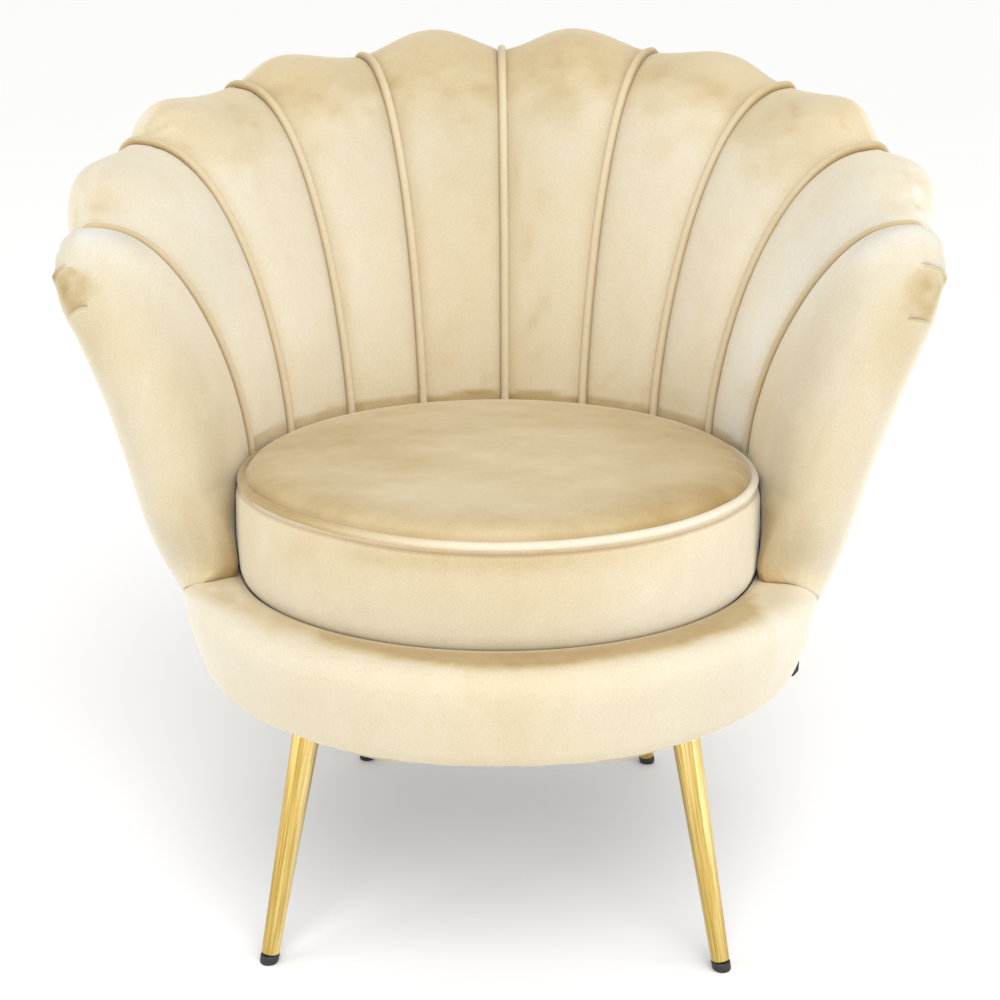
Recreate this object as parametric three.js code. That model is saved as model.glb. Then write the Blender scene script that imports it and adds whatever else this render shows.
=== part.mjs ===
// Scallop back armchair: channelled tub shell, round drum base, loose round
// seat cushion and four splayed metal legs. Millimetres, +Z up, front faces -Y,
// the floor is z = 0 and the bounding box is centred on x = y = 0.
import * as THREE from 'three';

// ---------------------------------------------------------------- dimensions
const Y_SHIFT = -79.784;            // moves the drum-centred layout so the box is centred in Y

// shell: nine seams (k = -4 .. 4) between ten channels
const SEAM_PSI_BOTTOM = [0, 19.5, 38.5, 56.2, 74.3];   // degrees from the back centre, at seat level
const SEAM_PSI_CREST = [0, 21.1, 41.7, 63.5, 87.6];    // degrees, at the crest
const SEAM_R_CREST = [429.1, 427.5, 423.9, 407.4, 379.2];
const SEAM_Z_CREST = [755.8, 754.3, 729.2, 683.2, 628.5];
const SHELL_R = 248;             // inner radius at seat level
const SHELL_Z_BOTTOM = 330;      // lower end of the channels
const SHELL_Z_SEAT = 405;        // where the flare begins
const FLARE_E1 = 1.287;          // exponents of the flare profile
const FLARE_E2 = 0.3848;
const CURL_R = 14;               // rim roll, outward
const CURL_Z = 21;               // rim roll, downward
const CURL_DEG = 95;
const ROWS = [-1, 0, 0.2, 0.4, 0.56, 0.7, 0.82, 0.92, 1, 1.33, 1.67, 2];
const BULGE = [4, 4.5, 7, 9, 10, 11.5, 13.5, 17, 20, 20, 17, 12];
const LOBE_GAIN = [1.05, 0.7, 0.6, 0.5];   // rim swell of the channels, from the middle outwards
const PAD = [24, 24, 24, 24, 24, 24, 22, 18, 15, 12, 10, 9];
const GROOVE = 6;                // depth of the channel edge below the seam
const EDGE_GAP = 0.3;            // half gap between two channels
const PIPING_R = 4.2;

// arm channels: front line and outer line, one entry per row
const ARM_FRONT = [
  [281, -95, 323], [279, -90, 392], [292, -86, 448], [312, -80, 497], [330, -73, 530], [347, -66, 553],
  [361, -58, 570], [373, -50, 582], [384, -40, 593], [392, -28, 600], [398, -14, 603], [400.5, 0, 603.5]];
const ARM_OUTER = [
  [304.5, 24.5, 268], [331, 26, 378], [345, 27, 428], [360, 28, 474], [372, 29, 505], [382, 30, 530],
  [390, 30.5, 549], [395.5, 31, 563], [399.5, 31.5, 575], [402, 31, 585], [403.5, 30, 591], [404, 28, 595]];
const ARM_PAD = 18;
const ARM_V = [0.13, 0.3, 0.45, 0.58, 0.72, 0.86, 1];   // columns after the seam edge, 0.5 = front line

// back frame and cover
const BOARD_GAP = 2;
const BOARD_T = 5;
const COVER_T = 5;
const COVER_DROP = 7;             // cover top edge below the rim roll
const COVER_PSI = 84.6;          // half angle of the outer cover
const COVER_Z = [215, 236, 262, 290, 317, 400, 500];    // cover rows below the rim
const COVER_R = [293, 297, 300.8, 306.5, 313, 334, 366]; // outer radius there
const TRIM_Z = [203, 213.5];

// drum
const DRUM_OUTER = [[0, 311], [230, 311], [240, 313.5], [246.5, 319.5], [262, 320.7], [276, 319.6], [289.3, 311],
  [293.2, 299], [290.7, 281], [284.1, 256], [278, 238], [271, 230.2], [264, 229.6]];
const DRUM_SKIN = 1.5;
const HOOP_R = [252, 264];
const HOOP_Z = [243.5, 298];
const PANEL_R = 262;
const PANEL_Z = [231.2, 243.2];

// cushion
const CUSHION_R = 240;
const CUSHION_X = -1.5;           // the loose cushion lies a little to the left
const CUSHION_Z = [311.5, 402];
const CUSHION_CORNER = 16;
const CUSHION_CROWN = 21.5;
const CUSHION_PIPING_R = 4.2;
const SKIN = 1.5;

// legs
const LEG_TIPS = { fl: [-200, -190], fr: [200, -190], rl: [-155, 241], rr: [155, 241] };
const LEG_LEAN = { fl: [38, 38], fr: [-38, 38], rl: [29, -45], rr: [-29, -45] }; // inward run up to the panel
const LEG_TOP_Z = 230.9;
const LEG_R_TOP = 12.6;
const LEG_R_BOTTOM = 8.4;
const LEG_WALL = 1.4;
const CAP_H = 10;

const SEG = 32;                  // facets of the round parts

// ---------------------------------------------------------------- materials
const mat = (color, roughness, metalness) => new THREE.MeshStandardMaterial({ color, roughness, metalness });
const VELVET = 0xe9d8b4;
const velvet = () => mat(VELVET, 0.75, 0);
const darker = () => mat(0xdcc799, 0.8, 0);
const gold = () => mat(0xe6c87a, 0.18, 1);
const steel = () => mat(0xb4b6b8, 0.35, 1);
const black = () => mat(0x1c1c1c, 0.55, 0);
const blackCloth = () => mat(0x232221, 0.95, 0);
const ply = () => mat(0xcfa873, 0.7, 0);
const foam = () => mat(0xf1e6c4, 0.9, 0);
const webbing = () => mat(0x4d4a45, 0.9, 0);

// ---------------------------------------------------------------- helpers
const V = (x, y, z) => new THREE.Vector3(x, y, z);
const rad = (d) => d * Math.PI / 180;

function solid(points, tris) {
  const pos = new Float32Array(points.length * 3);
  points.forEach((p, i) => { pos[3 * i] = p.x; pos[3 * i + 1] = p.y + Y_SHIFT; pos[3 * i + 2] = p.z; });
  let vol = 0;
  for (const [a, b, c] of tris) {
    const A = points[a], B = points[b], C = points[c];
    vol += A.x * (B.y * C.z - B.z * C.y) + A.y * (B.z * C.x - B.x * C.z) + A.z * (B.x * C.y - B.y * C.x);
  }
  const index = [];
  for (const [a, b, c] of tris) vol > 0 ? index.push(a, b, c) : index.push(a, c, b);
  const g = new THREE.BufferGeometry();
  g.setAttribute('position', new THREE.BufferAttribute(pos, 3));
  g.setIndex(index);
  g.computeVertexNormals();
  return g;
}

// closed slab between two grids of the same size: front[col][row], back[col][row]
function slab(front, back) {
  const nc = front.length, nr = front[0].length, pts = [], tris = [];
  for (const g of [front, back]) for (const c of g) for (const p of c) pts.push(p);
  const f = (c, r) => c * nr + r, b = (c, r) => nc * nr + c * nr + r;
  const quad = (p, q, r, s) => { tris.push([p, q, r], [p, r, s]); };
  for (let c = 0; c < nc - 1; c++) for (let r = 0; r < nr - 1; r++) {
    quad(f(c, r), f(c + 1, r), f(c + 1, r + 1), f(c, r + 1));
    quad(b(c, r), b(c, r + 1), b(c + 1, r + 1), b(c + 1, r));
  }
  for (let r = 0; r < nr - 1; r++) {
    quad(f(0, r), f(0, r + 1), b(0, r + 1), b(0, r));
    quad(f(nc - 1, r), b(nc - 1, r), b(nc - 1, r + 1), f(nc - 1, r + 1));
  }
  for (let c = 0; c < nc - 1; c++) {
    quad(f(c, 0), b(c, 0), b(c + 1, 0), f(c + 1, 0));
    quad(f(c, nr - 1), f(c + 1, nr - 1), b(c + 1, nr - 1), b(c, nr - 1));
  }
  return solid(pts, tris);
}

// solid of revolution about an upright axis at (cx, cy): closed profile of [r, z]
function revolve(profile, seg = SEG, cx = 0, cy = 0) {
  const pts = [], ring = [], tris = [];
  for (const [r, z] of profile) {
    if (r < 1e-6) { ring.push([pts.length]); pts.push(V(cx, cy, z)); continue; }
    const ids = [];
    for (let i = 0; i < seg; i++) {
      const a = 2 * Math.PI * (i + 0.5) / seg;
      ids.push(pts.length); pts.push(V(cx + r * Math.cos(a), cy + r * Math.sin(a), z));
    }
    ring.push(ids);
  }
  for (let i = 0; i < ring.length; i++) {
    const A = ring[i], B = ring[(i + 1) % ring.length];
    if (A.length === 1 && B.length === 1) continue;
    for (let j = 0; j < seg; j++) {
      const k = (j + 1) % seg;
      if (A.length === 1) tris.push([A[0], B[j], B[k]]);
      else if (B.length === 1) tris.push([A[j], B[0], A[k]]);
      else tris.push([A[j], B[j], B[k]], [A[j], B[k], A[k]]);
    }
  }
  return solid(pts, tris);
}

// round bar through centres, each with two cross vectors
function bar(stations, radius, sides) {
  const pts = [], tris = [];
  for (const { p, n, b } of stations) for (let i = 0; i < sides; i++) {
    const a = 2 * Math.PI * (i + 0.5) / sides;
    pts.push(p.clone().addScaledVector(n, radius * Math.cos(a)).addScaledVector(b, radius * Math.sin(a)));
  }
  const m = stations.length;
  for (let s = 0; s < m - 1; s++) for (let i = 0; i < sides; i++) {
    const j = (i + 1) % sides, A = s * sides, B = A + sides;
    tris.push([A + i, B + i, B + j], [A + i, B + j, A + j]);
  }
  const last = (m - 1) * sides;
  for (let i = 1; i < sides - 1; i++) { tris.push([0, i, i + 1]); tris.push([last, last + i + 1, last + i]); }
  return solid(pts, tris);
}

function box(x0, x1, y0, y1, z0, z1) {
  return slab([[V(x0, y0, z0), V(x0, y0, z1)], [V(x1, y0, z0), V(x1, y0, z1)]],
    [[V(x0, y1, z0), V(x0, y1, z1)], [V(x1, y1, z0), V(x1, y1, z1)]]);
}

// flat plate with round holes, extruded from z0 to z1
function plate(outline, holes, z0, z1) {
  const shape = new THREE.Shape(outline.map(([x, y]) => new THREE.Vector2(x, y + Y_SHIFT)));
  for (const [x, y, r] of holes) {
    const path = [];
    for (let i = 0; i < 16; i++) {
      const a = -2 * Math.PI * (i + 0.5) / 16;
      path.push(new THREE.Vector2(x + r * Math.cos(a), y + Y_SHIFT + r * Math.sin(a)));
    }
    shape.holes.push(new THREE.Path(path));
  }
  const g = new THREE.ExtrudeGeometry(shape, { depth: z1 - z0, bevelEnabled: false, steps: 1 });
  g.translate(0, 0, z0);
  return g;
}

const root = new THREE.Group();
root.name = 'scallop_back_chair';
function add(name, geometry, material) {
  const mesh = new THREE.Mesh(geometry, material);
  mesh.name = name;
  root.add(mesh);
}

// ---------------------------------------------------------------- shell surface
// even or odd table value at a real seam number, cubic through the seams
function across(table, k, odd) {
  const at = (i) => {
    const a = Math.abs(i), s = i < 0 && odd ? -1 : 1;
    if (a <= 4) return s * table[a];
    return s * (table[4] + (a - 4) * (table[4] - table[3]));
  };
  const i = Math.floor(k), f = k - i;
  const p0 = at(i - 1), p1 = at(i), p2 = at(i + 1), p3 = at(i + 2);
  return p1 + 0.5 * f * (p2 - p0 + f * (2 * p0 - 5 * p1 + 4 * p2 - p3 + f * (3 * (p1 - p2) + p3 - p0)));
}

function surface(k, tau) {
  const rc = across(SEAM_R_CREST, k, false), zc = across(SEAM_Z_CREST, k, false);
  const pb = across(SEAM_PSI_BOTTOM, k, true), pc = across(SEAM_PSI_CREST, k, true);
  let r, z, psi;
  if (tau <= 0) { r = SHELL_R; z = SHELL_Z_SEAT + tau * (SHELL_Z_SEAT - SHELL_Z_BOTTOM); psi = pb; }
  else if (tau <= 1) {
    const t = Math.sin(tau * Math.PI / 2);
    r = rc - (rc - SHELL_R) * Math.pow(Math.max(0, 1 - Math.pow(t, FLARE_E1)), FLARE_E2);
    z = SHELL_Z_SEAT + (zc - SHELL_Z_SEAT) * t;
    psi = pb + (pc - pb) * t * t;
  } else {
    const a = rad((tau - 1) * CURL_DEG);
    r = rc + CURL_R * Math.sin(a); z = zc - CURL_Z * (1 - Math.cos(a)); psi = pc;
  }
  return V(r * Math.sin(rad(psi)), r * Math.cos(rad(psi)), z);
}

// local frame: t up the seam, b towards higher k, n into the seat
function frameAt(k, tau) {
  const i = ROWS.indexOf(tau);
  const lo = i > 0 ? ROWS[i - 1] : tau, hi = i < ROWS.length - 1 ? ROWS[i + 1] : tau;
  const p = surface(k, tau);
  const t = surface(k, hi).sub(surface(k, lo)).normalize();
  const bRaw = surface(k + 0.02, tau).sub(surface(k - 0.02, tau));
  const width = bRaw.length() / 0.04;
  const n = new THREE.Vector3().crossVectors(bRaw, t).normalize();
  if (n.dot(V(-p.x, -p.y, 60)) < 0 && tau < 1.3) n.negate();
  const b = new THREE.Vector3().crossVectors(t, n).normalize();
  if (b.dot(bRaw) < 0) b.negate();
  return { p, t, n, b, width };
}

const lobe = (u) => Math.pow(Math.max(0, 1 - Math.pow(Math.abs(2 * u - 1), 2.3)), 0.75);

// channels between seam k and k + 1
function channel(k) {
  const us = [0, 0.2, 0.5, 0.8, 1], front = [], back = [];
  for (const u of us) {
    const fc = [], bc = [];
    ROWS.forEach((tau, i) => {
      if (u === 0 || u === 1) {
        const f = frameAt(k + u, tau), s = u === 0 ? 1 : -1;
        fc.push(f.p.clone().addScaledVector(f.b, s * EDGE_GAP).addScaledVector(f.n, -GROOVE));
        bc.push(f.p.clone().addScaledVector(f.b, s * EDGE_GAP).addScaledVector(f.n, -PAD[i]));
      } else {
        const f = frameAt(k + u, tau);
        const g = 1 + (LOBE_GAIN[Math.floor(Math.abs(k + 0.5))] - 1) * Math.max(0, Math.min(1, (tau - 0.5) / 0.4));
        fc.push(f.p.clone().addScaledVector(f.n, BULGE[i] * g * lobe(u)));
        bc.push(null);
      }
    });
    front.push(fc); back.push(bc);
  }
  // the rear face is flat between the seams and the middle, like the board behind it
  ROWS.forEach((tau, i) => {
    const f = frameAt(k + 0.5, tau);
    back[2][i] = f.p.clone().addScaledVector(f.n, -PAD[i]);
    back[1][i] = back[0][i].clone().lerp(back[2][i], 0.4);
    back[3][i] = back[4][i].clone().lerp(back[2][i], 0.4);
  });
  return slab(front, back);
}

// height of the drum's top at a plan position
function drumTop(p) {
  const r = Math.hypot(p.x, p.y), line = DRUM_OUTER.slice(0, 8);
  for (let i = 0; i < line.length - 1; i++) {
    if (r <= line[i + 1][0]) return line[i][1] + (line[i + 1][1] - line[i][1]) * (r - line[i][0]) / (line[i + 1][0] - line[i][0]);
  }
  return 0;
}

function armSection(side) {
  // columns of the arm channel: the seam edge first, then round the front to the outer line
  const front = [], back = [];
  const cols = [0, ...ARM_V];
  for (const v of cols) {
    const fc = [], bc = [];
    ROWS.forEach((tau, i) => {
      const f = frameAt(4, tau), p0 = f.p, F = V(...ARM_FRONT[i]), O = V(...ARM_OUTER[i]);
      const core = p0.clone().add(O).multiplyScalar(0.5);
      core.y += 0.15 * (F.y - core.y);
      let p;
      if (v === 0) p = p0.clone().addScaledVector(f.b, EDGE_GAP).addScaledVector(f.n, -GROOVE);
      else if (v <= 0.5) {
        const a = v * Math.PI, s = Math.pow(Math.sin(a), 2 / 2.2), c = 1 - Math.pow(Math.max(0, Math.cos(a)), 2 / 2.2);
        p = V(p0.x + (F.x - p0.x) * c, p0.y + (F.y - p0.y) * s, p0.z + (F.z - p0.z) * c);
        const swell = tau <= 0 ? 0.5 : Math.min(8, 40 * tau);
        p.addScaledVector(f.n, swell * Math.sin(Math.min(1, v / 0.42) * Math.PI) * (tau > 1 ? 0.5 : 1));
      } else {
        const a = (v - 0.5) * Math.PI, s = Math.pow(Math.sin(a), 2 / 2.5), c = 1 - Math.pow(Math.max(0, Math.cos(a)), 2 / 2.5);
        p = V(F.x + (O.x - F.x) * s, F.y + (O.y - F.y) * c, F.z + (O.z - F.z) * s);
      }
      const d = core.clone().sub(p), len = d.length();
      const q = v === 0
        ? p0.clone().addScaledVector(f.b, EDGE_GAP).addScaledVector(f.n, -Math.min(ARM_PAD, PAD[i]))
        : p.clone().addScaledVector(d, Math.min(ARM_PAD, 0.55 * len) / len);
      for (const w of [p, q]) {
        if (i === 0) w.z = Math.max(w.z, drumTop(w) + 3);
        w.x *= side;
      }
      fc.push(p); bc.push(q);
    });
    front.push(fc); back.push(bc);
  }
  return slab(front, back);
}

function armPost(side) {
  const front = [], back = [];
  const rows = [0, 1, 2, 3, 4];
  const at = (v, i) => {
    const tau = ROWS[i], p0 = frameAt(4, tau).p, F = V(...ARM_FRONT[i]), O = V(...ARM_OUTER[i]);
    const core = p0.clone().add(O).multiplyScalar(0.5);
    core.y += 0.15 * (F.y - core.y);
    let p;
    if (v <= 0.5) {
      const a = v * Math.PI, s = Math.pow(Math.sin(a), 2 / 2.2), c = 1 - Math.pow(Math.cos(a), 2 / 2.2);
      p = V(p0.x + (F.x - p0.x) * c, p0.y + (F.y - p0.y) * s, p0.z + (F.z - p0.z) * c);
    } else {
      const a = (v - 0.5) * Math.PI, s = Math.pow(Math.sin(a), 2 / 2.5), c = 1 - Math.pow(Math.cos(a), 2 / 2.5);
      p = V(F.x + (O.x - F.x) * s, F.y + (O.y - F.y) * c, F.z + (O.z - F.z) * s);
    }
    const d = core.clone().sub(p), len = d.length();
    p.addScaledVector(d, Math.min(ARM_PAD + 7, 0.75 * len) / len);
    if (i === 0) p.z = 334;
    p.x *= side;
    return p;
  };
  for (const [a, b] of [[0.2, 0.86], [0.36, 0.7]]) {
    front.push(rows.map((i) => at(a, i)));
    back.push(rows.map((i) => at(b, i)));
  }
  return slab(front, back);
}

for (let c = 0; c < 10; c++) {
  const name = 'channel_' + String(c + 1).padStart(2, '0');
  if (c === 0) add(name, armSection(-1), velvet());
  else if (c === 9) add(name, armSection(1), velvet());
  else add(name, channel(c - 5), velvet());
}
for (let s = 0; s < 9; s++) {
  add('seam_piping_' + (s + 1), bar(ROWS.map((tau) => frameAt(s - 4, tau)), PIPING_R, 6), darker());
}
add('arm_post_left', armPost(-1), ply());
add('arm_post_right', armPost(1), ply());

// ---------------------------------------------------------------- board, rails, ribs, cover
// outer radius of the cover at height z for seam number k; the top row tucks under the rim
function coverRadius(k, z) {
  const rTop = across(SEAM_R_CREST, k, false) + CURL_R - 2, zTop = across(SEAM_Z_CREST, k, false) - CURL_Z - COVER_DROP;
  const zs = [...COVER_Z.filter((q) => q < zTop - 40), zTop];
  const rs = [...COVER_R.slice(0, zs.length - 1), rTop];
  let i = 0;
  while (i < zs.length - 2 && z > zs[i + 1]) i++;
  const f = (z - zs[i]) / (zs[i + 1] - zs[i]);
  return rs[i] + (rs[i + 1] - rs[i]) * f;
}
const seamNumber = (psi, table) => {           // seam number whose table angle is psi
  let lo = -4.6, hi = 4.6;
  for (let i = 0; i < 40; i++) { const m = (lo + hi) / 2; across(table, m, true) < psi ? lo = m : hi = m; }
  return (lo + hi) / 2;
};
const polar = (r, psi, z) => V(r * Math.sin(rad(psi)), r * Math.cos(rad(psi)), z);

{
  const front = [], back = [], n = 18;
  for (let i = 0; i <= n; i++) {
    const psi = -COVER_PSI + 2 * COVER_PSI * i / n;
    const k = Math.max(-3.93, Math.min(3.93, seamNumber(psi, SEAM_PSI_CREST)));
    const zTop = across(SEAM_Z_CREST, k, false) - CURL_Z - COVER_DROP;
    const zs = [215, 250, 290, 330, 330 + (zTop - 330) * 0.33, 330 + (zTop - 330) * 0.66, zTop];
    front.push(zs.map((z) => polar(coverRadius(k, z), psi, z)));
    back.push(zs.map((z) => polar(coverRadius(k, z) - COVER_T, psi, z)));
  }
  add('outer_back', slab(front, back), velvet());
}
{
  const front = [], back = [], rows = [0, 1, 2, 3, 4, 5];
  for (let k = -4; k <= 4; k += 0.5) {
    const kk = k === -4 ? -3.99 : k === 4 ? 3.99 : k;
    const at = (i, d) => { const f = frameAt(kk, ROWS[i]); return f.p.clone().addScaledVector(f.n, -PAD[i] - d); };
    front.push(rows.map((i) => at(i, BOARD_GAP)));
    back.push(rows.map((i) => at(i, BOARD_GAP + BOARD_T)));
  }
  add('inner_board', slab(front, back), ply());
}
{
  const front = [], back = [], zs = [331.5, 350];
  for (let i = 0; i <= 12; i++) {
    const psi = -72 + 12 * i;
    front.push(zs.map((z) => polar(283, psi, z)));
    back.push(zs.map((z) => polar(305, psi, z)));
  }
  add('lower_rail', slab(front, back), ply());
}
{
  const front = [], back = [];
  for (let k = -3.5; k <= 3.5; k += 0.5) {
    const rc = across(SEAM_R_CREST, k, false), zc = across(SEAM_Z_CREST, k, false), psi = across(SEAM_PSI_CREST, k, true);
    front.push([polar(rc - 34, psi, zc - 64), polar(rc - 34, psi, zc - 44)]);
    back.push([polar(rc - 8, psi, zc - 64), polar(rc - 8, psi, zc - 44)]);
  }
  add('top_rail', slab(front, back), ply());
}
for (const [name, k] of [['rib_left', -1.5], ['rib_right', 1.5]]) {
  const psi = across(SEAM_PSI_BOTTOM, k, true), e = polar(1, psi, 0), side = V(e.y, -e.x, 0);
  const zs = [352.5, 420, 500, 570, 620];
  const inner = [283, 285, 297, 322, 350];
  const col = (s, back) => zs.map((z, i) => polar(back ? coverRadius(k, z) - COVER_T - 4 : inner[i], psi, z).addScaledVector(side, s));
  add(name, slab([col(-7.5, false), col(7.5, false)], [col(-7.5, true), col(7.5, true)]), ply());
}
{
  const front = [], back = [];
  for (let i = 0; i <= 12; i++) {
    const psi = -84 + 14 * i;
    front.push(TRIM_Z.map((z) => polar(268, psi, z)));
    back.push(TRIM_Z.map((z) => polar(288, psi, z)));
  }
  add('rear_trim', slab(front, back), blackCloth());
}

// ---------------------------------------------------------------- drum base
const drumInner = DRUM_OUTER.map(([r, z], i) => {
  const a = DRUM_OUTER[Math.max(0, i - 1)], b = DRUM_OUTER[Math.min(DRUM_OUTER.length - 1, i + 1)];
  const dr = b[0] - a[0], dz = b[1] - a[1], l = Math.hypot(dr, dz);
  return [i === 0 ? 0 : r + DRUM_SKIN * dz / l, z - DRUM_SKIN * dr / l];
});
drumInner[drumInner.length - 1] = [264, 231.1];
drumInner[drumInner.length - 2] = [269.5, 231.6];
add('drum_cover', revolve([...DRUM_OUTER, ...drumInner.slice().reverse()]), velvet());

const DRUM_PAD = [[241, 303.2], [241, 311.4], [247.5, 317.4], [262, 318.6], [275.2, 317.5], [287.2, 309.4],
  [290.4, 298.8], [288, 282], [281.4, 257], [275.2, 240], [269, 232.6], [264.8, 232.4], [264.8, 303.2]];
add('border_pad', revolve(DRUM_PAD), foam());
add('base_hoop', revolve([[HOOP_R[0], HOOP_Z[0]], [HOOP_R[1], HOOP_Z[0]], [HOOP_R[1], HOOP_Z[1]], [HOOP_R[0], HOOP_Z[1]]]), ply());
add('deck_pad', revolve([[0, 303.2], [239.5, 303.2], [239.5, 309.8], [230, 309], [0, 309]]), foam());

const legAt = (key, z) => {
  const [x, y] = LEG_TIPS[key], [dx, dy] = LEG_LEAN[key], f = z / LEG_TOP_Z;
  return [x + dx * f, y + dy * f];
};
const disc = (r, n) => Array.from({ length: n }, (_, i) => {
  const a = 2 * Math.PI * (i + 0.5) / n; return [r * Math.cos(a), r * Math.sin(a)];
});
const keys = ['fl', 'fr', 'rl', 'rr'];
add('base_panel', plate(disc(PANEL_R, SEG), keys.map((k) => [...legAt(k, LEG_TOP_Z), 4.6]), ...PANEL_Z), ply());
add('dust_cover', plate(disc(262, SEG), keys.map((k) => [...legAt(k, 230), 14.5]), 229.8, 230.8), blackCloth());

const STRAP_Z = [[298.5, 300.3], [300.9, 302.7]];
[-80, 80].forEach((y, i) => add('strap_cross_' + (i + 1), box(-241.5, 241.5, y - 25, y + 25, ...STRAP_Z[0]), webbing()));
[-80, 80].forEach((x, i) => add('strap_long_' + (i + 1), box(x - 25, x + 25, -241.5, 241.5, ...STRAP_Z[1]), webbing()));

// ---------------------------------------------------------------- legs
function leanTube(key, z0, z1, rOuter, rInner) {
  const sides = 14, pts = [], tris = [];
  for (const [z, q] of [[z0, 0], [z1, 1]]) {
    const [cx, cy] = legAt(key, z);
    for (const r of [rOuter[q], rInner[q]]) for (let i = 0; i < sides; i++) {
      const a = 2 * Math.PI * i / sides;
      pts.push(V(cx + r * Math.cos(a), cy + r * Math.sin(a), z));
    }
  }
  for (let i = 0; i < sides; i++) {
    const j = (i + 1) % sides, o0 = 0, i0 = sides, o1 = 2 * sides, i1 = 3 * sides;
    tris.push([o0 + i, o0 + j, o1 + j], [o0 + i, o1 + j, o1 + i]);
    tris.push([i0 + i, i1 + j, i0 + j], [i0 + i, i1 + i, i1 + j]);
    tris.push([o0 + i, i0 + j, o0 + j], [o0 + i, i0 + i, i0 + j]);
    tris.push([o1 + i, o1 + j, i1 + j], [o1 + i, i1 + j, i1 + i]);
  }
  return solid(pts, tris);
}
// stack of rings following the leg's axis, closed at both ends
function leanStack(key, rings, sides) {
  const pts = [], tris = [];
  for (const [z, r, straight] of rings) {
    const [cx, cy] = legAt(key, straight ?? z);
    for (let i = 0; i < sides; i++) {
      const a = 2 * Math.PI * i / sides;
      pts.push(V(cx + r * Math.cos(a), cy + r * Math.sin(a), z));
    }
  }
  for (let s = 0; s < rings.length - 1; s++) for (let i = 0; i < sides; i++) {
    const j = (i + 1) % sides, A = s * sides, B = A + sides;
    tris.push([A + i, A + j, B + j], [A + i, B + j, B + i]);
  }
  const last = (rings.length - 1) * sides;
  for (let i = 1; i < sides - 1; i++) { tris.push([0, i + 1, i]); tris.push([last, last + i, last + i + 1]); }
  return solid(pts, tris);
}
for (const key of keys) {
  add('leg_tube_' + key, leanTube(key, CAP_H + 0.3, LEG_TOP_Z, [LEG_R_BOTTOM, LEG_R_TOP],
    [LEG_R_BOTTOM - LEG_WALL, LEG_R_TOP - LEG_WALL]), gold());
  add('foot_cap_' + key, leanStack(key, [[0, 9.0], [2, 9.6], [CAP_H, 9.0], [CAP_H, 6.4, CAP_H], [26, 6.4]], 14), black());
  add('leg_stud_' + key, leanStack(key, [[226.4, 10.2], [230, 10.2], [230, 4, LEG_TOP_Z], [259, 4, LEG_TOP_Z]], 12), steel());
  // block behind the stud, square to the radius of the drum
  const [bx, by] = legAt(key, LEG_TOP_Z), l = Math.hypot(bx, by), ux = bx / l, uy = by / l;
  add('leg_block_' + key, plate([[14, -26], [14, 26], [-34, 26], [-34, -26]].map(([d, w]) => [bx + ux * d - uy * w, by + uy * d + ux * w]),
    [[bx, by, 4.6]], PANEL_Z[1] + 0.3, 260.5), ply());
}

// ---------------------------------------------------------------- seat cushion
{
  const [z0, z1] = CUSHION_Z, R = CUSHION_R, c = CUSHION_CORNER, X = CUSHION_X;
  const corner = (d) => [12, 45, 90].map((a) => [R - c + (c - d) * Math.sin(rad(a)), z0 + c - (c - d) * Math.cos(rad(a))]);
  // centre to rim lines of the skin, outside and inside
  const topOut = [[0, z1 + CUSHION_CROWN], [110, z1 + 20.9], [180, z1 + 18.2], [218, z1 + 11.6], [R - 8.6, z1 + 2.6]];
  const topIn = topOut.map(([r, z]) => [r, z - SKIN]);
  add('cushion_top', revolve([...topOut, ...topIn.slice().reverse()], SEG, X), velvet());
  const sideOut = [...corner(0), [R + 0.6, z0 + 50], [R - 1.4, z1 - 5.5]];
  const sideIn = [...corner(SKIN), [R + 0.6 - SKIN, z0 + 50], [R - 1.4 - SKIN, z1 - 5.5]];
  add('cushion_band', revolve([...sideOut, ...sideIn.slice().reverse()], SEG, X), velvet());
  const inner = corner(0)[0];
  add('cushion_bottom', revolve([[0, z0], [inner[0] - 1, z0], [inner[0] - 1, z0 + SKIN], [0, z0 + SKIN]], SEG, X), velvet());
  const g = 0.4 + SKIN;
  add('cushion_core', revolve([[0, z0 + g], ...corner(g), [R - 0.2 - g, z0 + 50], [R - 2.4 - g, z1 - 6.5], [R - 15, z1 - 1.6],
    [217, z1 + 11 - g], [180, z1 + 17.8 - g], [110, z1 + 20.5 - g], [0, z1 + CUSHION_CROWN - g]], SEG, X), foam());
  const pr = CUSHION_PIPING_R, pc = [R - 4.4, z1];
  add('cushion_piping', revolve(Array.from({ length: 8 }, (_, i) => {
    const a = 2 * Math.PI * (i + 0.5) / 8; return [pc[0] + pr * Math.cos(a), pc[1] + pr * Math.sin(a)];
  }), SEG, X), darker());
}

export default root;
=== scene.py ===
import bpy, math
import numpy as np
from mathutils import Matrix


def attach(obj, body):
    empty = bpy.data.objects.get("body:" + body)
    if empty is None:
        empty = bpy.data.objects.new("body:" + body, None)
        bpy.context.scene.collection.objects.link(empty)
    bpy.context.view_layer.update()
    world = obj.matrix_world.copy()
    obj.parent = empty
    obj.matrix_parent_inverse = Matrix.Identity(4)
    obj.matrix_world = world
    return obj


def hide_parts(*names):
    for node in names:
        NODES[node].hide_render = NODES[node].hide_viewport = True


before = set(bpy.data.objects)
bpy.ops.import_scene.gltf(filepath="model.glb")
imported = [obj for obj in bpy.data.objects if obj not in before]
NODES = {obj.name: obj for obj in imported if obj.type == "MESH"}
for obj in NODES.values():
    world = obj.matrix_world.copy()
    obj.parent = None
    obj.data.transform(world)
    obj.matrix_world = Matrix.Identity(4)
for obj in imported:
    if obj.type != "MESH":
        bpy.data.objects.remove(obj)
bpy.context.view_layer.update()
scene = bpy.context.scene
rng = np.random.default_rng(7)

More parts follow.
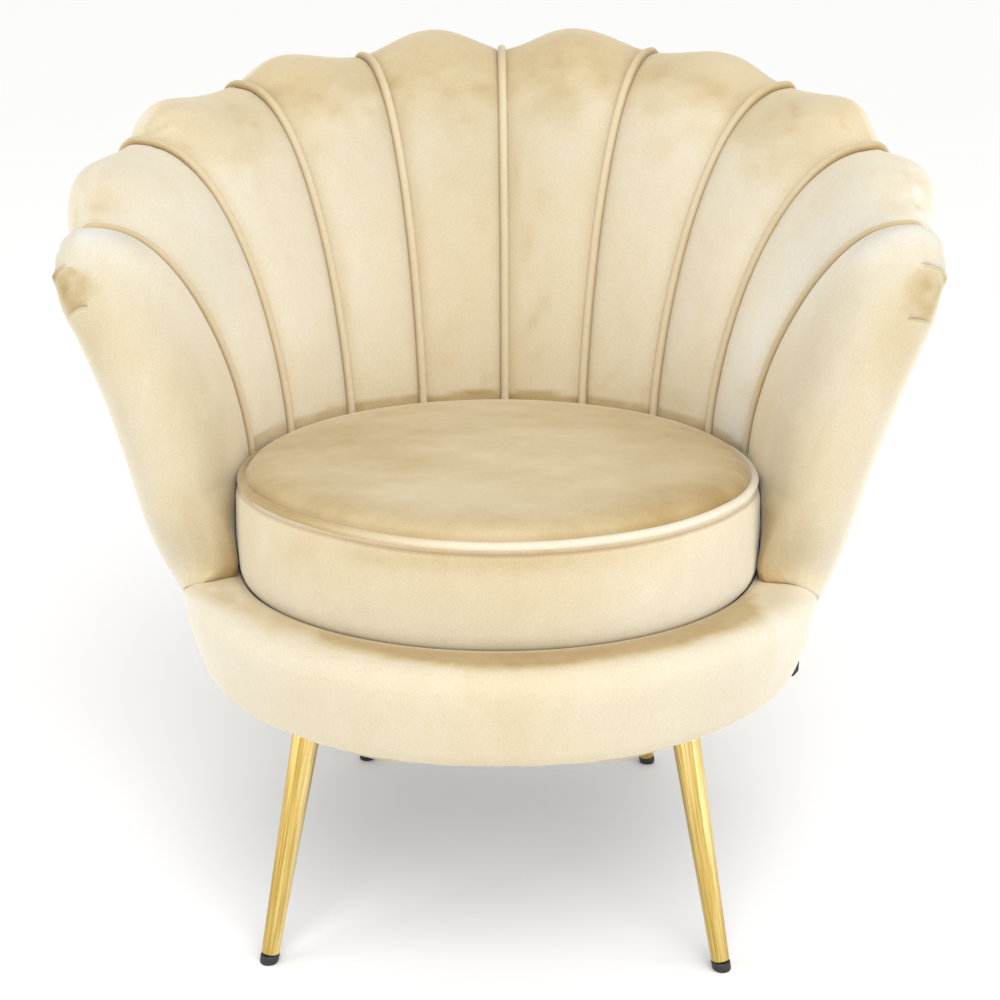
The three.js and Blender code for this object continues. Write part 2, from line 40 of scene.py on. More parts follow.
# ------------------------------------------------------------------ layout
# everything is laid out round the drum's axis, then moved by YS into the row frame
YS = -0.079784
R0, Z0 = 0.248, 0.405               # shell radius and height at seat level
E1, E2 = 1.287, 1 / 2.5991          # flare profile
CURL_DEG = 95.0
PIPE_R = 0.0044

# seams 1..9 from the left: angle at the seat, angle at the crest, crest radius, crest height
SEAMS = np.array([
    (-76.53, -90.81, .3661, .6262), (-58.88, -65.47, .3902, .6848), (-39.67, -42.52, .4123, .7267),
    (-20.65, -22.37, .4141, .7504), (-0.65, -1.50, .4170, .7558), (18.44, 20.95, .4155, .7554),
    (37.39, 43.44, .4106, .7278), (54.99, 65.31, .3894, .6820), (71.21, 92.50, .3628, .6335)])
# how far each seam rolls on past its crest: outward, and down
CURL = np.array([(.0215, .0200), (.0215, .0235), (.0280, .0225), (.0280, .0220), (.0260, .0220), (.0235, .0220),
                 (.0160, .0240), (.0155, .0250), (.0215, .0220)])

TAUS = np.array([-1, 0, .2, .4, .56, .7, .82, .92, 1, 1.33, 1.67, 2])
BULGE = np.array([4, 4.5, 7, 9, 10, 11.5, 13.5, 17, 20, 20, 17, 12]) / 1000
# swell of the rim between each pair of seams (2..9 in the picture's order): how much, how pointed,
# how far it leans to one side, and how much is left of it behind the crest
LOBE_GAIN = [.49, .83, .75, 1.06, .98, .65, .94, .48]
LOBE_PEAK = [2.20, 1.99, 1.66, 1.41, 1.78, 2.20, 1.69, 2.20]
LOBE_SKEW = [-.04, .73, .50, -.09, .11, -.05, -.47, .47]
LOBE_REAR = [1.77, 1.00, 1.08, .97, .91, .47, .72, 1.63]

_front = np.array([
    [266, -92, 326], [278, -90, 392], [292, -86, 448], [312, -80, 497], [330, -73, 530], [347, -66, 553],
    [361, -58, 570], [373, -50, 582], [384, -40, 593], [392, -28, 600], [398, -14, 603], [400.5, 0, 603.5]]) / 1000
_outer = np.array([
    [311, 24.5, 305], [331, 26, 378], [345, 27, 428], [360, 28, 474], [372, 29, 505], [382, 30, 530],
    [390, 30.5, 549], [395.5, 31, 563], [399.5, 31.5, 575], [402, 31, 585], [403.5, 30, 591], [404, 28, 595]]) / 1000


def with_x(table, xs):
    return np.column_stack([np.array(xs) / 1000, table[:, 1:]])


# the two arms aren't quite alike in the picture
ARM_FRONT = {-1: with_x(_front, [266, 278, 292, 312, 330, 348.3, 363.7, 374.5, 384.3, 390.2, 395.5, 399]),
             1: with_x(_front, [266, 278, 292, 312, 330, 345.5, 358.5, 368.6, 378.4, 386.6, 391.3, 394.3])}
ARM_OUTER = {-1: with_x(_outer, [312.6, 333.2, 347.1, 361.8, 373.6, 383.6, 393.4, 397.4, 399.9, 399.8, 400.4, 402.1]),
             1: with_x(_outer, [307.8, 327.2, 342.5, 359.1, 370.3, 380.2, 386.9, 390, 392.5, 395.3, 395.1, 396.3])}
FOOT_OUT = {-1: .56, 1: .46}

DRUM = np.array([[0, 311], [120, 311], [226, 311], [233.5, 311.6], [237.6, 314.6], [239.6, 317.8], [243.8, 320.0], [262, 320.7],
                 [275, 319.8], [283.5, 316.6], [289.3, 311], [292.6, 303.8], [292.9, 295], [290.7, 281], [287.4, 268],
                 [284.1, 256], [281.1, 246], [278.2, 238.6], [274.3, 233], [268.5, 229.7], [262, 228.8]]) / 1000

CUSH_R, CUSH_Z0, CUSH_Z1 = 0.2405, 0.3115, 0.402
CUSH_X = -0.0025

LEG_TIPS = {"fl": (-.2014, -.190), "fr": (.2015, -.1905), "rl": (-.155, .241), "rr": (.155, .241)}
LEG_LEAN = {"fl": (.0394, .038), "fr": (-.0395, .0385), "rl": (.029, -.045), "rr": (-.029, -.045)}
LEG_TOP = 0.2309


# ------------------------------------------------------------------ numbers
def hermite(xk, yk, x):
    """Smooth curve through the knots, straight past its ends."""
    xk, yk, x = np.asarray(xk, float), np.asarray(yk, float), np.asarray(x, float)
    m = np.gradient(yk, xk, axis=0)
    i = np.clip(np.searchsorted(xk, x, side="right") - 1, 0, len(xk) - 2)
    h = xk[i + 1] - xk[i]
    t = (x - xk[i]) / h
    tc = np.clip(t, 0, 1)
    ex = (t - tc) * h
    if yk.ndim > 1:
        h, tc, ex = h[..., None], tc[..., None], ex[..., None]
    a, b, ma, mb = yk[i], yk[i + 1], m[i] * h, m[i + 1] * h
    v = (2 * tc**3 - 3 * tc**2 + 1) * a + (tc**3 - 2 * tc**2 + tc) * ma + (-2 * tc**3 + 3 * tc**2) * b + (tc**3 - tc**2) * mb
    slope = np.where(ex < 0, m[i], m[i + 1])
    return v + slope * ex


def step(a, b, x):
    t = np.clip((np.asarray(x, float) - a) / (b - a), 0, 1)
    return t * t * (3 - 2 * t)


def unit(v):
    return v / np.maximum(np.linalg.norm(v, axis=-1, keepdims=True), 1e-12)


def lattice(p, seed):
    """Smooth noise from -1 to 1 at points p (n, 3)."""
    p = np.asarray(p, float)
    i = np.floor(p).astype(np.int64)
    f = p - i
    f = f * f * (3 - 2 * f)
    out = np.zeros(p.shape[:-1])
    for dx in (0, 1):
        for dy in (0, 1):
            for dz in (0, 1):
                h = (i[..., 0] + dx) * 374761393 + (i[..., 1] + dy) * 668265263 + (i[..., 2] + dz) * 2147483647 + seed * 1274126177
                h = (h ^ (h >> 13)) * 1274126177 & 0x7FFFFFFF
                v = ((h ^ (h >> 16)) & 0xFFFF) / 32767.5 - 1
                w = (f[..., 0] if dx else 1 - f[..., 0]) * (f[..., 1] if dy else 1 - f[..., 1]) * (f[..., 2] if dz else 1 - f[..., 2])
                out += v * w
    return out


def cloud(p, size, seed, octaves=3, stretch=(1, 1, 1)):
    q = np.asarray(p, float) / (size * np.asarray(stretch, float))
    out, a, total = 0, 1.0, 0
    for o in range(octaves):
        out = out + a * lattice(q * 2**o + 17.3 * o, seed + o)
        total += a
        a *= .5
    return out / total


# the camera, and where a point of the drum-centred layout falls in the 1000 x 1000 picture
CAM_AT = np.array([0.04764, -1.75911, 0.88766])
CAM_TILT, CAM_TURN, CAM_F = 0.29635, 0.028731, 1894.02


def pixel(P):
    Q = np.asarray(P, float) + np.array([0, YS, 0]) - CAM_AT
    c, s = math.cos(CAM_TURN), math.sin(CAM_TURN)
    x, y = c * Q[..., 0] + s * Q[..., 1], -s * Q[..., 0] + c * Q[..., 1]
    z = Q[..., 2]
    ct, st = math.cos(CAM_TILT), math.sin(CAM_TILT)
    depth, up = ct * y - st * z, st * y + ct * z
    return np.stack([500 + CAM_F * x / depth, 500 - CAM_F * up / depth], -1)


# ------------------------------------------------------------------ meshes
def make(name, co, faces, attrs=None, sharp=False):
    """Mesh object from drum-centred points and a list of quad and triangle arrays."""
    co = np.asarray(co, float) + np.array([0, YS, 0])
    me = bpy.data.meshes.new(name)
    me.vertices.add(len(co))
    me.vertices.foreach_set("co", co.astype(np.float32).ravel())
    loops, starts, at = [], [], 0
    for f in faces:
        f = np.asarray(f, np.int32)
        if not len(f):
            continue
        n = f.shape[1]
        loops.append(f.ravel())
        starts.append(at + n * np.arange(len(f)))
        at += f.size
    loops, starts = np.concatenate(loops), np.concatenate(starts)
    me.loops.add(len(loops))
    me.loops.foreach_set("vertex_index", loops)
    me.polygons.add(len(starts))
    me.polygons.foreach_set("loop_start", starts.astype(np.int32))
    me.polygons.foreach_set("use_smooth", np.full(len(starts), not sharp))
    me.update(calc_edges=True)
    me.validate()
    for key, val in (attrs or {}).items():
        a = me.attributes.new(key, "FLOAT", "POINT")
        a.data.foreach_set("value", np.asarray(val, np.float32).ravel())
    ob = bpy.data.objects.new(name, me)
    scene.collection.objects.link(ob)
    return ob


def grid_faces(nu, nv, base=0, flip=False, wrap=False):
    u = np.arange(nu if wrap else nu - 1)
    v = np.arange(nv - 1)
    U, Vv = np.meshgrid(u, v, indexing="ij")
    U2 = (U + 1) % nu
    q = np.stack([U * nv + Vv, U2 * nv + Vv, U2 * nv + Vv + 1, U * nv + Vv + 1], -1).reshape(-1, 4) + base
    return q[:, ::-1] if flip else q


def closed_slab(F, B):
    """Faces of a solid between two grids of the same size."""
    nu, nv = F.shape[:2]
    n = nu * nv
    f = lambda a, b: a * nv + b
    faces = [grid_faces(nu, nv), grid_faces(nu, nv, n, True)]
    v = np.arange(nv - 1)
    u = np.arange(nu - 1)
    faces.append(np.stack([f(0, v), f(0, v + 1), n + f(0, v + 1), n + f(0, v)], -1))
    e = nu - 1
    faces.append(np.stack([f(e, v + 1), f(e, v), n + f(e, v), n + f(e, v + 1)], -1))
    faces.append(np.stack([f(u + 1, 0), f(u, 0), n + f(u, 0), n + f(u + 1, 0)], -1))
    e = nv - 1
    faces.append(np.stack([f(u, e), f(u + 1, e), n + f(u + 1, e), n + f(u, e)], -1))
    return np.concatenate([F.reshape(-1, 3), B.reshape(-1, 3)]), [np.concatenate(faces)]


def outward(co, faces):
    """Turns the faces round if the solid is inside out."""
    vol = 0
    for f in faces:
        a = co[f[:, 0]]
        for i in range(1, f.shape[1] - 1):
            vol += np.einsum("ij,ij->i", a, np.cross(co[f[:, i]], co[f[:, i + 1]])).sum()
    return faces if vol > 0 else [f[:, ::-1] for f in faces]


def tube(path, radius, sides=16, roll=None, taper=None, squash=1.0):
    """Closed round bar along path; normals come from roll (one side vector a point) or are carried along."""
    path = np.asarray(path, float)
    t = unit(np.gradient(path, axis=0))
    if roll is None:
        n = np.zeros_like(path)
        ref = np.array([0, 0, 1.0]) if abs(t[0, 2]) < .9 else np.array([1.0, 0, 0])
        n[0] = unit(np.cross(np.cross(t[0], ref), t[0]))
        for i in range(1, len(path)):
            n[i] = unit(n[i - 1] - t[i] * np.dot(n[i - 1], t[i]))
    else:
        n = unit(roll - t * np.sum(roll * t, -1, keepdims=True))
    b = np.cross(t, n)
    r = np.full(len(path), radius) if np.isscalar(radius) else np.asarray(radius, float)
    a = 2 * np.pi * np.arange(sides) / sides
    ring = path[:, None] + r[:, None, None] * (squash * np.cos(a)[None, :, None] * n[:, None] + np.sin(a)[None, :, None] * b[:, None])
    m = len(path)
    co = np.concatenate([ring.reshape(-1, 3), path[:1], path[-1:]])
    i, j = np.meshgrid(np.arange(m - 1), np.arange(sides), indexing="ij")
    j2 = (j + 1) % sides
    q = np.stack([i * sides + j, i * sides + j2, (i + 1) * sides + j2, (i + 1) * sides + j], -1).reshape(-1, 4)
    k = np.arange(sides)
    k2 = (k + 1) % sides
    t0 = np.stack([np.full(sides, m * sides), k2, k], -1)
    t1 = np.stack([np.full(sides, m * sides + 1), (m - 1) * sides + k, (m - 1) * sides + k2], -1)
    return co, outward(co, [q, np.concatenate([t0, t1])])


def lathe(profile, seg, centre=(0, 0), fn=None):
    """Solid of revolution; the profile starts and ends on the axis, or is a closed ring. fn(points, i, ang) may move the points."""
    profile = np.asarray(profile, float)
    a = 2 * np.pi * np.arange(seg) / seg
    on_axis = profile[0, 0] < 1e-6
    body = profile[1:-1] if on_axis else profile
    P = np.stack([body[None, :, 0] * np.cos(a)[:, None], body[None, :, 0] * np.sin(a)[:, None],
                  np.broadcast_to(body[None, :, 1], (seg, len(body)))], -1)
    if fn is not None:
        P = fn(P, a)
    n = len(body)
    co = P.reshape(-1, 3)
    faces = [grid_faces(seg, n, wrap=True)]
    if on_axis:
        co = np.concatenate([co, [[0, 0, profile[0, 1]]], [[0, 0, profile[-1, 1]]]])
        k = np.arange(seg)
        k2 = (k + 1) % seg
        faces.append(np.stack([np.full(seg, seg * n), k2 * n, k * n], -1))
        faces.append(np.stack([np.full(seg, seg * n + 1), k * n + n - 1, k2 * n + n - 1], -1))
    else:
        k = np.arange(seg)
        k2 = (k + 1) % seg
        faces[0] = np.concatenate([faces[0], np.stack([k * n + n - 1, k2 * n + n - 1, k2 * n, k * n], -1)])
    co = co + np.array([centre[0], centre[1], 0])
    return co, outward(co, faces)


# ------------------------------------------------------------------ the shell's surface
def seam_values(k):
    return hermite(np.arange(1, 10), SEAMS, k)


def surface(k, tau):
    k, tau = np.broadcast_arrays(np.asarray(k, float), np.asarray(tau, float))
    v = seam_values(k)
    p0, pc, rc, zc = v[..., 0], v[..., 1], v[..., 2], v[..., 3]
    t = np.sin(np.clip(tau, 0, 1) * np.pi / 2)
    r = rc - (rc - R0) * np.maximum(0, 1 - t**E1) ** E2
    z = Z0 + (zc - Z0) * t
    psi = p0 + (pc - p0) * t * t
    low = tau < 0
    z = np.where(low, Z0 + tau * .075, z)
    a = np.radians(np.clip(tau - 1, 0, 3) * CURL_DEG)
    c = hermite(np.arange(1, 10), CURL, k)
    r = r + c[..., 0] * np.sin(a)
    z = z - c[..., 1] * (1 - np.cos(a))
    q = np.radians(psi)
    return np.stack([r * np.sin(q), r * np.cos(q), z], -1)


def shell_frame(k, tau):
    e = .004
    p = surface(k, tau)
    t = unit(surface(k, tau + e) - surface(k, tau - e))
    braw = surface(k + .02, tau) - surface(k - .02, tau)
    width = np.linalg.norm(braw, axis=-1) / .04
    n = unit(np.cross(braw, t))
    b = unit(np.cross(t, n))
    b = np.where((np.sum(b * braw, -1) < 0)[..., None], -b, b)
    return p, t, n, b, width


def even_taus(k, n, lo=-1.0, hi=2.0, dense=None):
    """n values of tau spaced evenly along the seam, closer together where dense says."""
    s = np.concatenate([np.linspace(lo, .9, 500), np.linspace(.9, hi, 500)[1:]])
    P = surface(k, s)
    d = np.linalg.norm(np.diff(P, axis=0), axis=1)
    if dense is not None:
        d = d * dense((s[1:] + s[:-1]) / 2)
    c = np.concatenate([[0], np.cumsum(d)])
    return np.interp(np.linspace(0, c[-1], n), c, s)


def lobe(u, tau, j):
    """Section of channel j + 1 between its two seams: full in the back's face, domed at the rim."""
    us = np.clip(u + LOBE_SKEW[j - 1] * u * (1 - u) * step(.6, 1, tau), 0, 1)
    w = step(.6, .9, tau)
    flat = np.maximum(0, 1 - np.abs(2 * us - 1) ** 2.3) ** .75
    return (1 - w) * flat + w * np.sin(np.pi * us) ** LOBE_PEAK[j - 1]


def swell(j, tau):
    return hermite(TAUS, BULGE, tau) * (1 + (LOBE_GAIN[j - 1] - 1) * step(.5, .9, tau)) * (1 + (LOBE_REAR[j - 1] - 1) * step(1.0, 1.5, tau))


# ------------------------------------------------------------------ materials
def srgb(r, g, b):
    f = lambda c: c / 12.92 if c <= .04045 else ((c + .055) / 1.055) ** 2.4
    return (f(r / 255), f(g / 255), f(b / 255), 1)


class Graph:
    def __init__(self, name):
        self.mat = bpy.data.materials.new(name)
        self.mat.use_nodes = True
        self.nt = self.mat.node_tree
        self.nt.nodes.clear()
        self.out = self.nt.nodes.new("ShaderNodeOutputMaterial")

    def node(self, kind, **props):
        n = self.nt.nodes.new(kind)
        for k, v in props.items():
            setattr(n, k, v)
        return n

    def link(self, a, b):
        self.nt.links.new(a, b)
        return b

    def put(self, socket, value):
        if hasattr(value, "links") or isinstance(value, bpy.types.NodeSocket):
            self.nt.links.new(value, socket)
        else:
            socket.default_value = value

    def math(self, op, a, b=0.0, clamp=False):
        n = self.node("ShaderNodeMath", operation=op, use_clamp=clamp)
        self.put(n.inputs[0], a)
        self.put(n.inputs[1], b)
        return n.outputs[0]

    def noise(self, vec, scale, detail=3.0, rough=.5, distort=0.0):
        n = self.node("ShaderNodeTexNoise")
        self.link(vec, n.inputs["Vector"])
        n.inputs["Scale"].default_value = scale
        n.inputs["Detail"].default_value = detail
        n.inputs["Roughness"].default_value = rough
        n.inputs["Distortion"].default_value = distort
        return n.outputs["Fac"]

    def ramp(self, fac, stops):
        n = self.node("ShaderNodeValToRGB")
        self.link(fac, n.inputs[0])
        r = n.color_ramp
        while len(r.elements) < len(stops):
            r.elements.new(.5)
        for e, (at, col) in zip(r.elements, stops):
            e.position = at
            e.color = col if len(col) == 4 else (*col, 1)
        return n.outputs[0]

    def mix(self, fac, a, b, blend="MIX"):
        n = self.node("ShaderNodeMix", data_type="RGBA", blend_type=blend)
        self.put(n.inputs[0], fac)
        self.put(n.inputs[6], a)
        self.put(n.inputs[7], b)
        return n.outputs[2]

    def coords(self, scale=(1, 1, 1)):
        tc = self.node("ShaderNodeTexCoord")
        m = self.node("ShaderNodeMapping")
        self.link(tc.outputs["Object"], m.inputs[0])
        m.inputs["Scale"].default_value = scale
        return m.outputs[0]

    def attr(self, name):
        n = self.node("ShaderNodeAttribute", attribute_type="GEOMETRY", attribute_name=name)
        return n.outputs["Fac"]


# how the cloth looks from pale (pile lying towards the eye) to brown (pile brushed the other way)
SHADES = [(249, 245, 237), (241, 229, 205), (233, 215, 181), (221, 199, 158), (200, 172, 121), (166, 132, 76)]
BOOST = (1.42, 1.385, 1.36)           # how much brighter the studio shows a cloth than its own colour


def cloth_colour(c):
    r = srgb(*c)
    return tuple(r[i] / BOOST[i] for i in range(3)) + (1,)


# dark brown of the painted shade in creases, seams and gaps
CREASE_SHADE_COLOUR = srgb(118, 80, 18)


def velvet(name, marks=.20, grain=1.0):
    """Cut-pile velvet: colour by the lie of the pile, brush marks, painted shade in creases and gaps, painted shade and
    painted light from a darkening attribute, bright grazing pile.
    """
    g = Graph(name)
    plain = g.coords()
    tall = g.coords((1, 1, .6))
    # how brown the cloth is painted: 0 pale, 1 brown; this holds the lie of the pile and also painted shade and painted
    # sheen
    f = g.attr("tone")
    big = g.noise(tall, 8.0, 3.0, .55, .7)
    small = g.noise(tall, 38.0, 4.0, .62, 1.2)
    brush = g.noise(g.coords((1, 1, .25)), 95.0, 3.0, .6, .6)
    for n, k in ((big, 1.0), (small, .60), (brush, .38)):
        f = g.math("ADD", f, g.math("MULTIPLY", g.math("SUBTRACT", n, .5), marks * k))
    f = g.math("ADD", f, 0.0, clamp=True)
    n = len(SHADES) - 1
    col = g.ramp(f, [(i / n, cloth_colour(c)) for i, c in enumerate(SHADES)])
    # the pile's own fine grain
    fine = g.noise(plain, 620.0, 2.0, .65)
    lightness = g.math("MULTIPLY_ADD", fine, .30 * grain)
    lightness.node.inputs[2].default_value = 1 - .15 * grain
    # painted shade and painted light: the dim attribute darkens the colour, or lightens it where it is negative
    lightness = g.math("MULTIPLY", lightness, g.math("SUBTRACT", 1.0, g.attr("painted_dim")))
    tint = g.node("ShaderNodeCombineColor")
    for i in range(3):
        g.link(lightness, tint.inputs[i])
    col = g.mix(1.0, col, tint.outputs[0], "MULTIPLY")
    # painted shade: the colour is pulled towards the dark brown where the crease attribute is high
    col = g.mix(g.math("MULTIPLY", g.attr("crease_shade"), 1.0, clamp=True), col, CREASE_SHADE_COLOUR)
    p = g.node("ShaderNodeBsdfPrincipled")
    g.link(col, p.inputs["Base Color"])
    p.inputs["Roughness"].default_value = .85
    p.inputs["Specular IOR Level"].default_value = .12
    p.inputs["Sheen Weight"].default_value = .50
    p.inputs["Sheen Roughness"].default_value = .40
    p.inputs["Sheen Tint"].default_value = (1, .93, .77, 1)
    # pile and soft unevenness under it
    b1 = g.node("ShaderNodeBump")
    b1.inputs["Strength"].default_value = .30
    b1.inputs["Distance"].default_value = .0007
    g.link(fine, b1.inputs["Height"])
    b2 = g.node("ShaderNodeBump")
    b2.inputs["Strength"].default_value = .22
    b2.inputs["Distance"].default_value = .002
    g.link(g.noise(plain, 48.0, 3.0, .5), b2.inputs["Height"])
    g.link(b2.outputs[0], b1.inputs["Normal"])
    g.link(b1.outputs[0], p.inputs["Normal"])
    g.link(p.outputs[0], g.out.inputs["Surface"])
    return g.mat


M_VELVET = velvet("velvet_cream")
M_PIPING = velvet("velvet_piping", marks=.12, grain=.8)
M_BACK = velvet("velvet_back")


def metal_gold():
    g = Graph("brass_gold")
    # fine lines drawn along the tube, made strong enough to stand also for painted reflection streaks
    at = g.node("ShaderNodeAttribute", attribute_type="GEOMETRY", attribute_name="drawn_and_reflection_streaks")
    p = g.node("ShaderNodeBsdfPrincipled")
    broad = g.noise(at.outputs["Vector"], 1.6, 2.0, .5)
    fine = g.noise(at.outputs["Vector"], 7.0, 3.0, .6)
    f = g.math("ADD", g.math("MULTIPLY", broad, .55), g.math("MULTIPLY", fine, .45))
    col = g.ramp(f, [(.36, srgb(176, 146, 72)), (.50, srgb(205, 175, 98)), (.62, srgb(238, 215, 150))])
    g.link(col, p.inputs["Base Color"])
    p.inputs["Metallic"].default_value = 1.0
    r = g.math("MULTIPLY_ADD", fine, .08)
    r.node.inputs[2].default_value = .05
    g.link(r, p.inputs["Roughness"])
    b = g.node("ShaderNodeBump")
    b.inputs["Strength"].default_value = .05
    b.inputs["Distance"].default_value = .0002
    g.link(fine, b.inputs["Height"])
    g.link(b.outputs[0], p.inputs["Normal"])
    g.link(p.outputs[0], g.out.inputs["Surface"])
    return g.mat


def plastic_black():
    g = Graph("black_plastic")
    p = g.node("ShaderNodeBsdfPrincipled")
    n = g.noise(g.coords(), 380.0, 4.0, .6)
    g.link(g.ramp(n, [(.2, (.008, .008, .008)), (.8, (.022, .021, .020))]), p.inputs["Base Color"])
    p.inputs["Roughness"].default_value = .48
    b = g.node("ShaderNodeBump")
    b.inputs["Strength"].default_value = .25
    b.inputs["Distance"].default_value = .0004
    g.link(n, b.inputs["Height"])
    g.link(b.outputs[0], p.inputs["Normal"])
    g.link(p.outputs[0], g.out.inputs["Surface"])
    return g.mat


def cloth_black(name="black_nonwoven", a=(.010, .010, .010), b_=(.035, .034, .033)):
    g = Graph(name)
    p = g.node("ShaderNodeBsdfPrincipled")
    v = g.node("ShaderNodeTexVoronoi")
    g.link(g.coords(), v.inputs["Vector"])
    v.inputs["Scale"].default_value = 420.0
    n = g.noise(g.coords(), 160.0, 4.0, .7)
    f = g.math("ADD", g.math("MULTIPLY", v.outputs["Distance"], .7), g.math("MULTIPLY", n, .5))
    g.link(g.ramp(f, [(.2, a), (.9, b_)]), p.inputs["Base Color"])
    p.inputs["Roughness"].default_value = .92
    b = g.node("ShaderNodeBump")
    b.inputs["Strength"].default_value = .5
    b.inputs["Distance"].default_value = .0006
    g.link(f, b.inputs["Height"])
    g.link(b.outputs[0], p.inputs["Normal"])
    g.link(p.outputs[0], g.out.inputs["Surface"])
    return g.mat


def wood_ply():
    g = Graph("birch_ply")
    p = g.node("ShaderNodeBsdfPrincipled")
    w = g.node("ShaderNodeTexWave", wave_type="BANDS", bands_direction="Z")
    g.link(g.coords((1, 1, 1)), w.inputs["Vector"])
    w.inputs["Scale"].default_value = 90.0
    w.inputs["Distortion"].default_value = 3.0
    w.inputs["Detail"].default_value = 3.0
    grain = g.noise(g.coords((30, 4, 4)), 12.0, 5.0, .6)
    f = g.math("ADD", g.math("MULTIPLY", w.outputs["Fac"], .35), g.math("MULTIPLY", grain, .65))
    g.link(g.ramp(f, [(.2, srgb(176, 134, 84)), (.8, srgb(216, 180, 128))]), p.inputs["Base Color"])
    p.inputs["Roughness"].default_value = .62
    b = g.node("ShaderNodeBump")
    b.inputs["Strength"].default_value = .2
    b.inputs["Distance"].default_value = .0006
    g.link(f, b.inputs["Height"])
    g.link(b.outputs[0], p.inputs["Normal"])
    g.link(p.outputs[0], g.out.inputs["Surface"])
    return g.mat


def foam_cream():
    g = Graph("foam")
    p = g.node("ShaderNodeBsdfPrincipled")
    v = g.node("ShaderNodeTexVoronoi")
    g.link(g.coords(), v.inputs["Vector"])
    v.inputs["Scale"].default_value = 700.0
    g.link(g.ramp(v.outputs["Distance"], [(.0, srgb(214, 198, 150)), (.5, srgb(240, 228, 190))]), p.inputs["Base Color"])
    p.inputs["Roughness"].default_value = .95
    b = g.node("ShaderNodeBump")
    b.inputs["Strength"].default_value = .6
    b.inputs["Distance"].default_value = .0008
    g.link(v.outputs["Distance"], b.inputs["Height"])
    g.link(b.outputs[0], p.inputs["Normal"])
    g.link(p.outputs[0], g.out.inputs["Surface"])
    return g.mat


def webbing_dark():
    g = Graph("webbing")
    p = g.node("ShaderNodeBsdfPrincipled")
    w = g.node("ShaderNodeTexWave", wave_type="BANDS", bands_direction="DIAGONAL")
    g.link(g.coords(), w.inputs["Vector"])
    w.inputs["Scale"].default_value = 260.0
    n = g.noise(g.coords(), 300.0, 3.0, .6)
    f = g.math("ADD", g.math("MULTIPLY", w.outputs["Fac"], .6), g.math("MULTIPLY", n, .4))
    g.link(g.ramp(f, [(.2, (.035, .032, .028)), (.9, (.11, .10, .09))]), p.inputs["Base Color"])
    p.inputs["Roughness"].default_value = .9
    b = g.node("ShaderNodeBump")
    b.inputs["Strength"].default_value = .6
    b.inputs["Distance"].default_value = .001
    g.link(f, b.inputs["Height"])
    g.link(b.outputs[0], p.inputs["Normal"])
    g.link(p.outputs[0], g.out.inputs["Surface"])
    return g.mat


def steel_zinc():
    g = Graph("zinc_steel")
    p = g.node("ShaderNodeBsdfPrincipled")
    n = g.noise(g.coords(), 200.0, 4.0, .6)
    g.link(g.ramp(n, [(.3, srgb(150, 152, 156)), (.7, srgb(190, 192, 196))]), p.inputs["Base Color"])
    p.inputs["Metallic"].default_value = 1.0
    r = g.math("MULTIPLY_ADD", n, .2)
    r.node.inputs[2].default_value = .25
    g.link(r, p.inputs["Roughness"])
    g.link(p.outputs[0], g.out.inputs["Surface"])
    return g.mat


M_GOLD, M_BLACK, M_CLOTH = metal_gold(), plastic_black(), cloth_black()
M_PLY, M_FOAM, M_WEB, M_STEEL = wood_ply(), foam_cream(), webbing_dark(), steel_zinc()


def dress(ob, mat, body="chair"):
    ob.data.materials.clear()
    ob.data.materials.append(mat)
    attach(ob, body)
    return ob


# ------------------------------------------------------------------ channels of the back
E_SEAM = .0050          # how far the cloth dives beside a piping


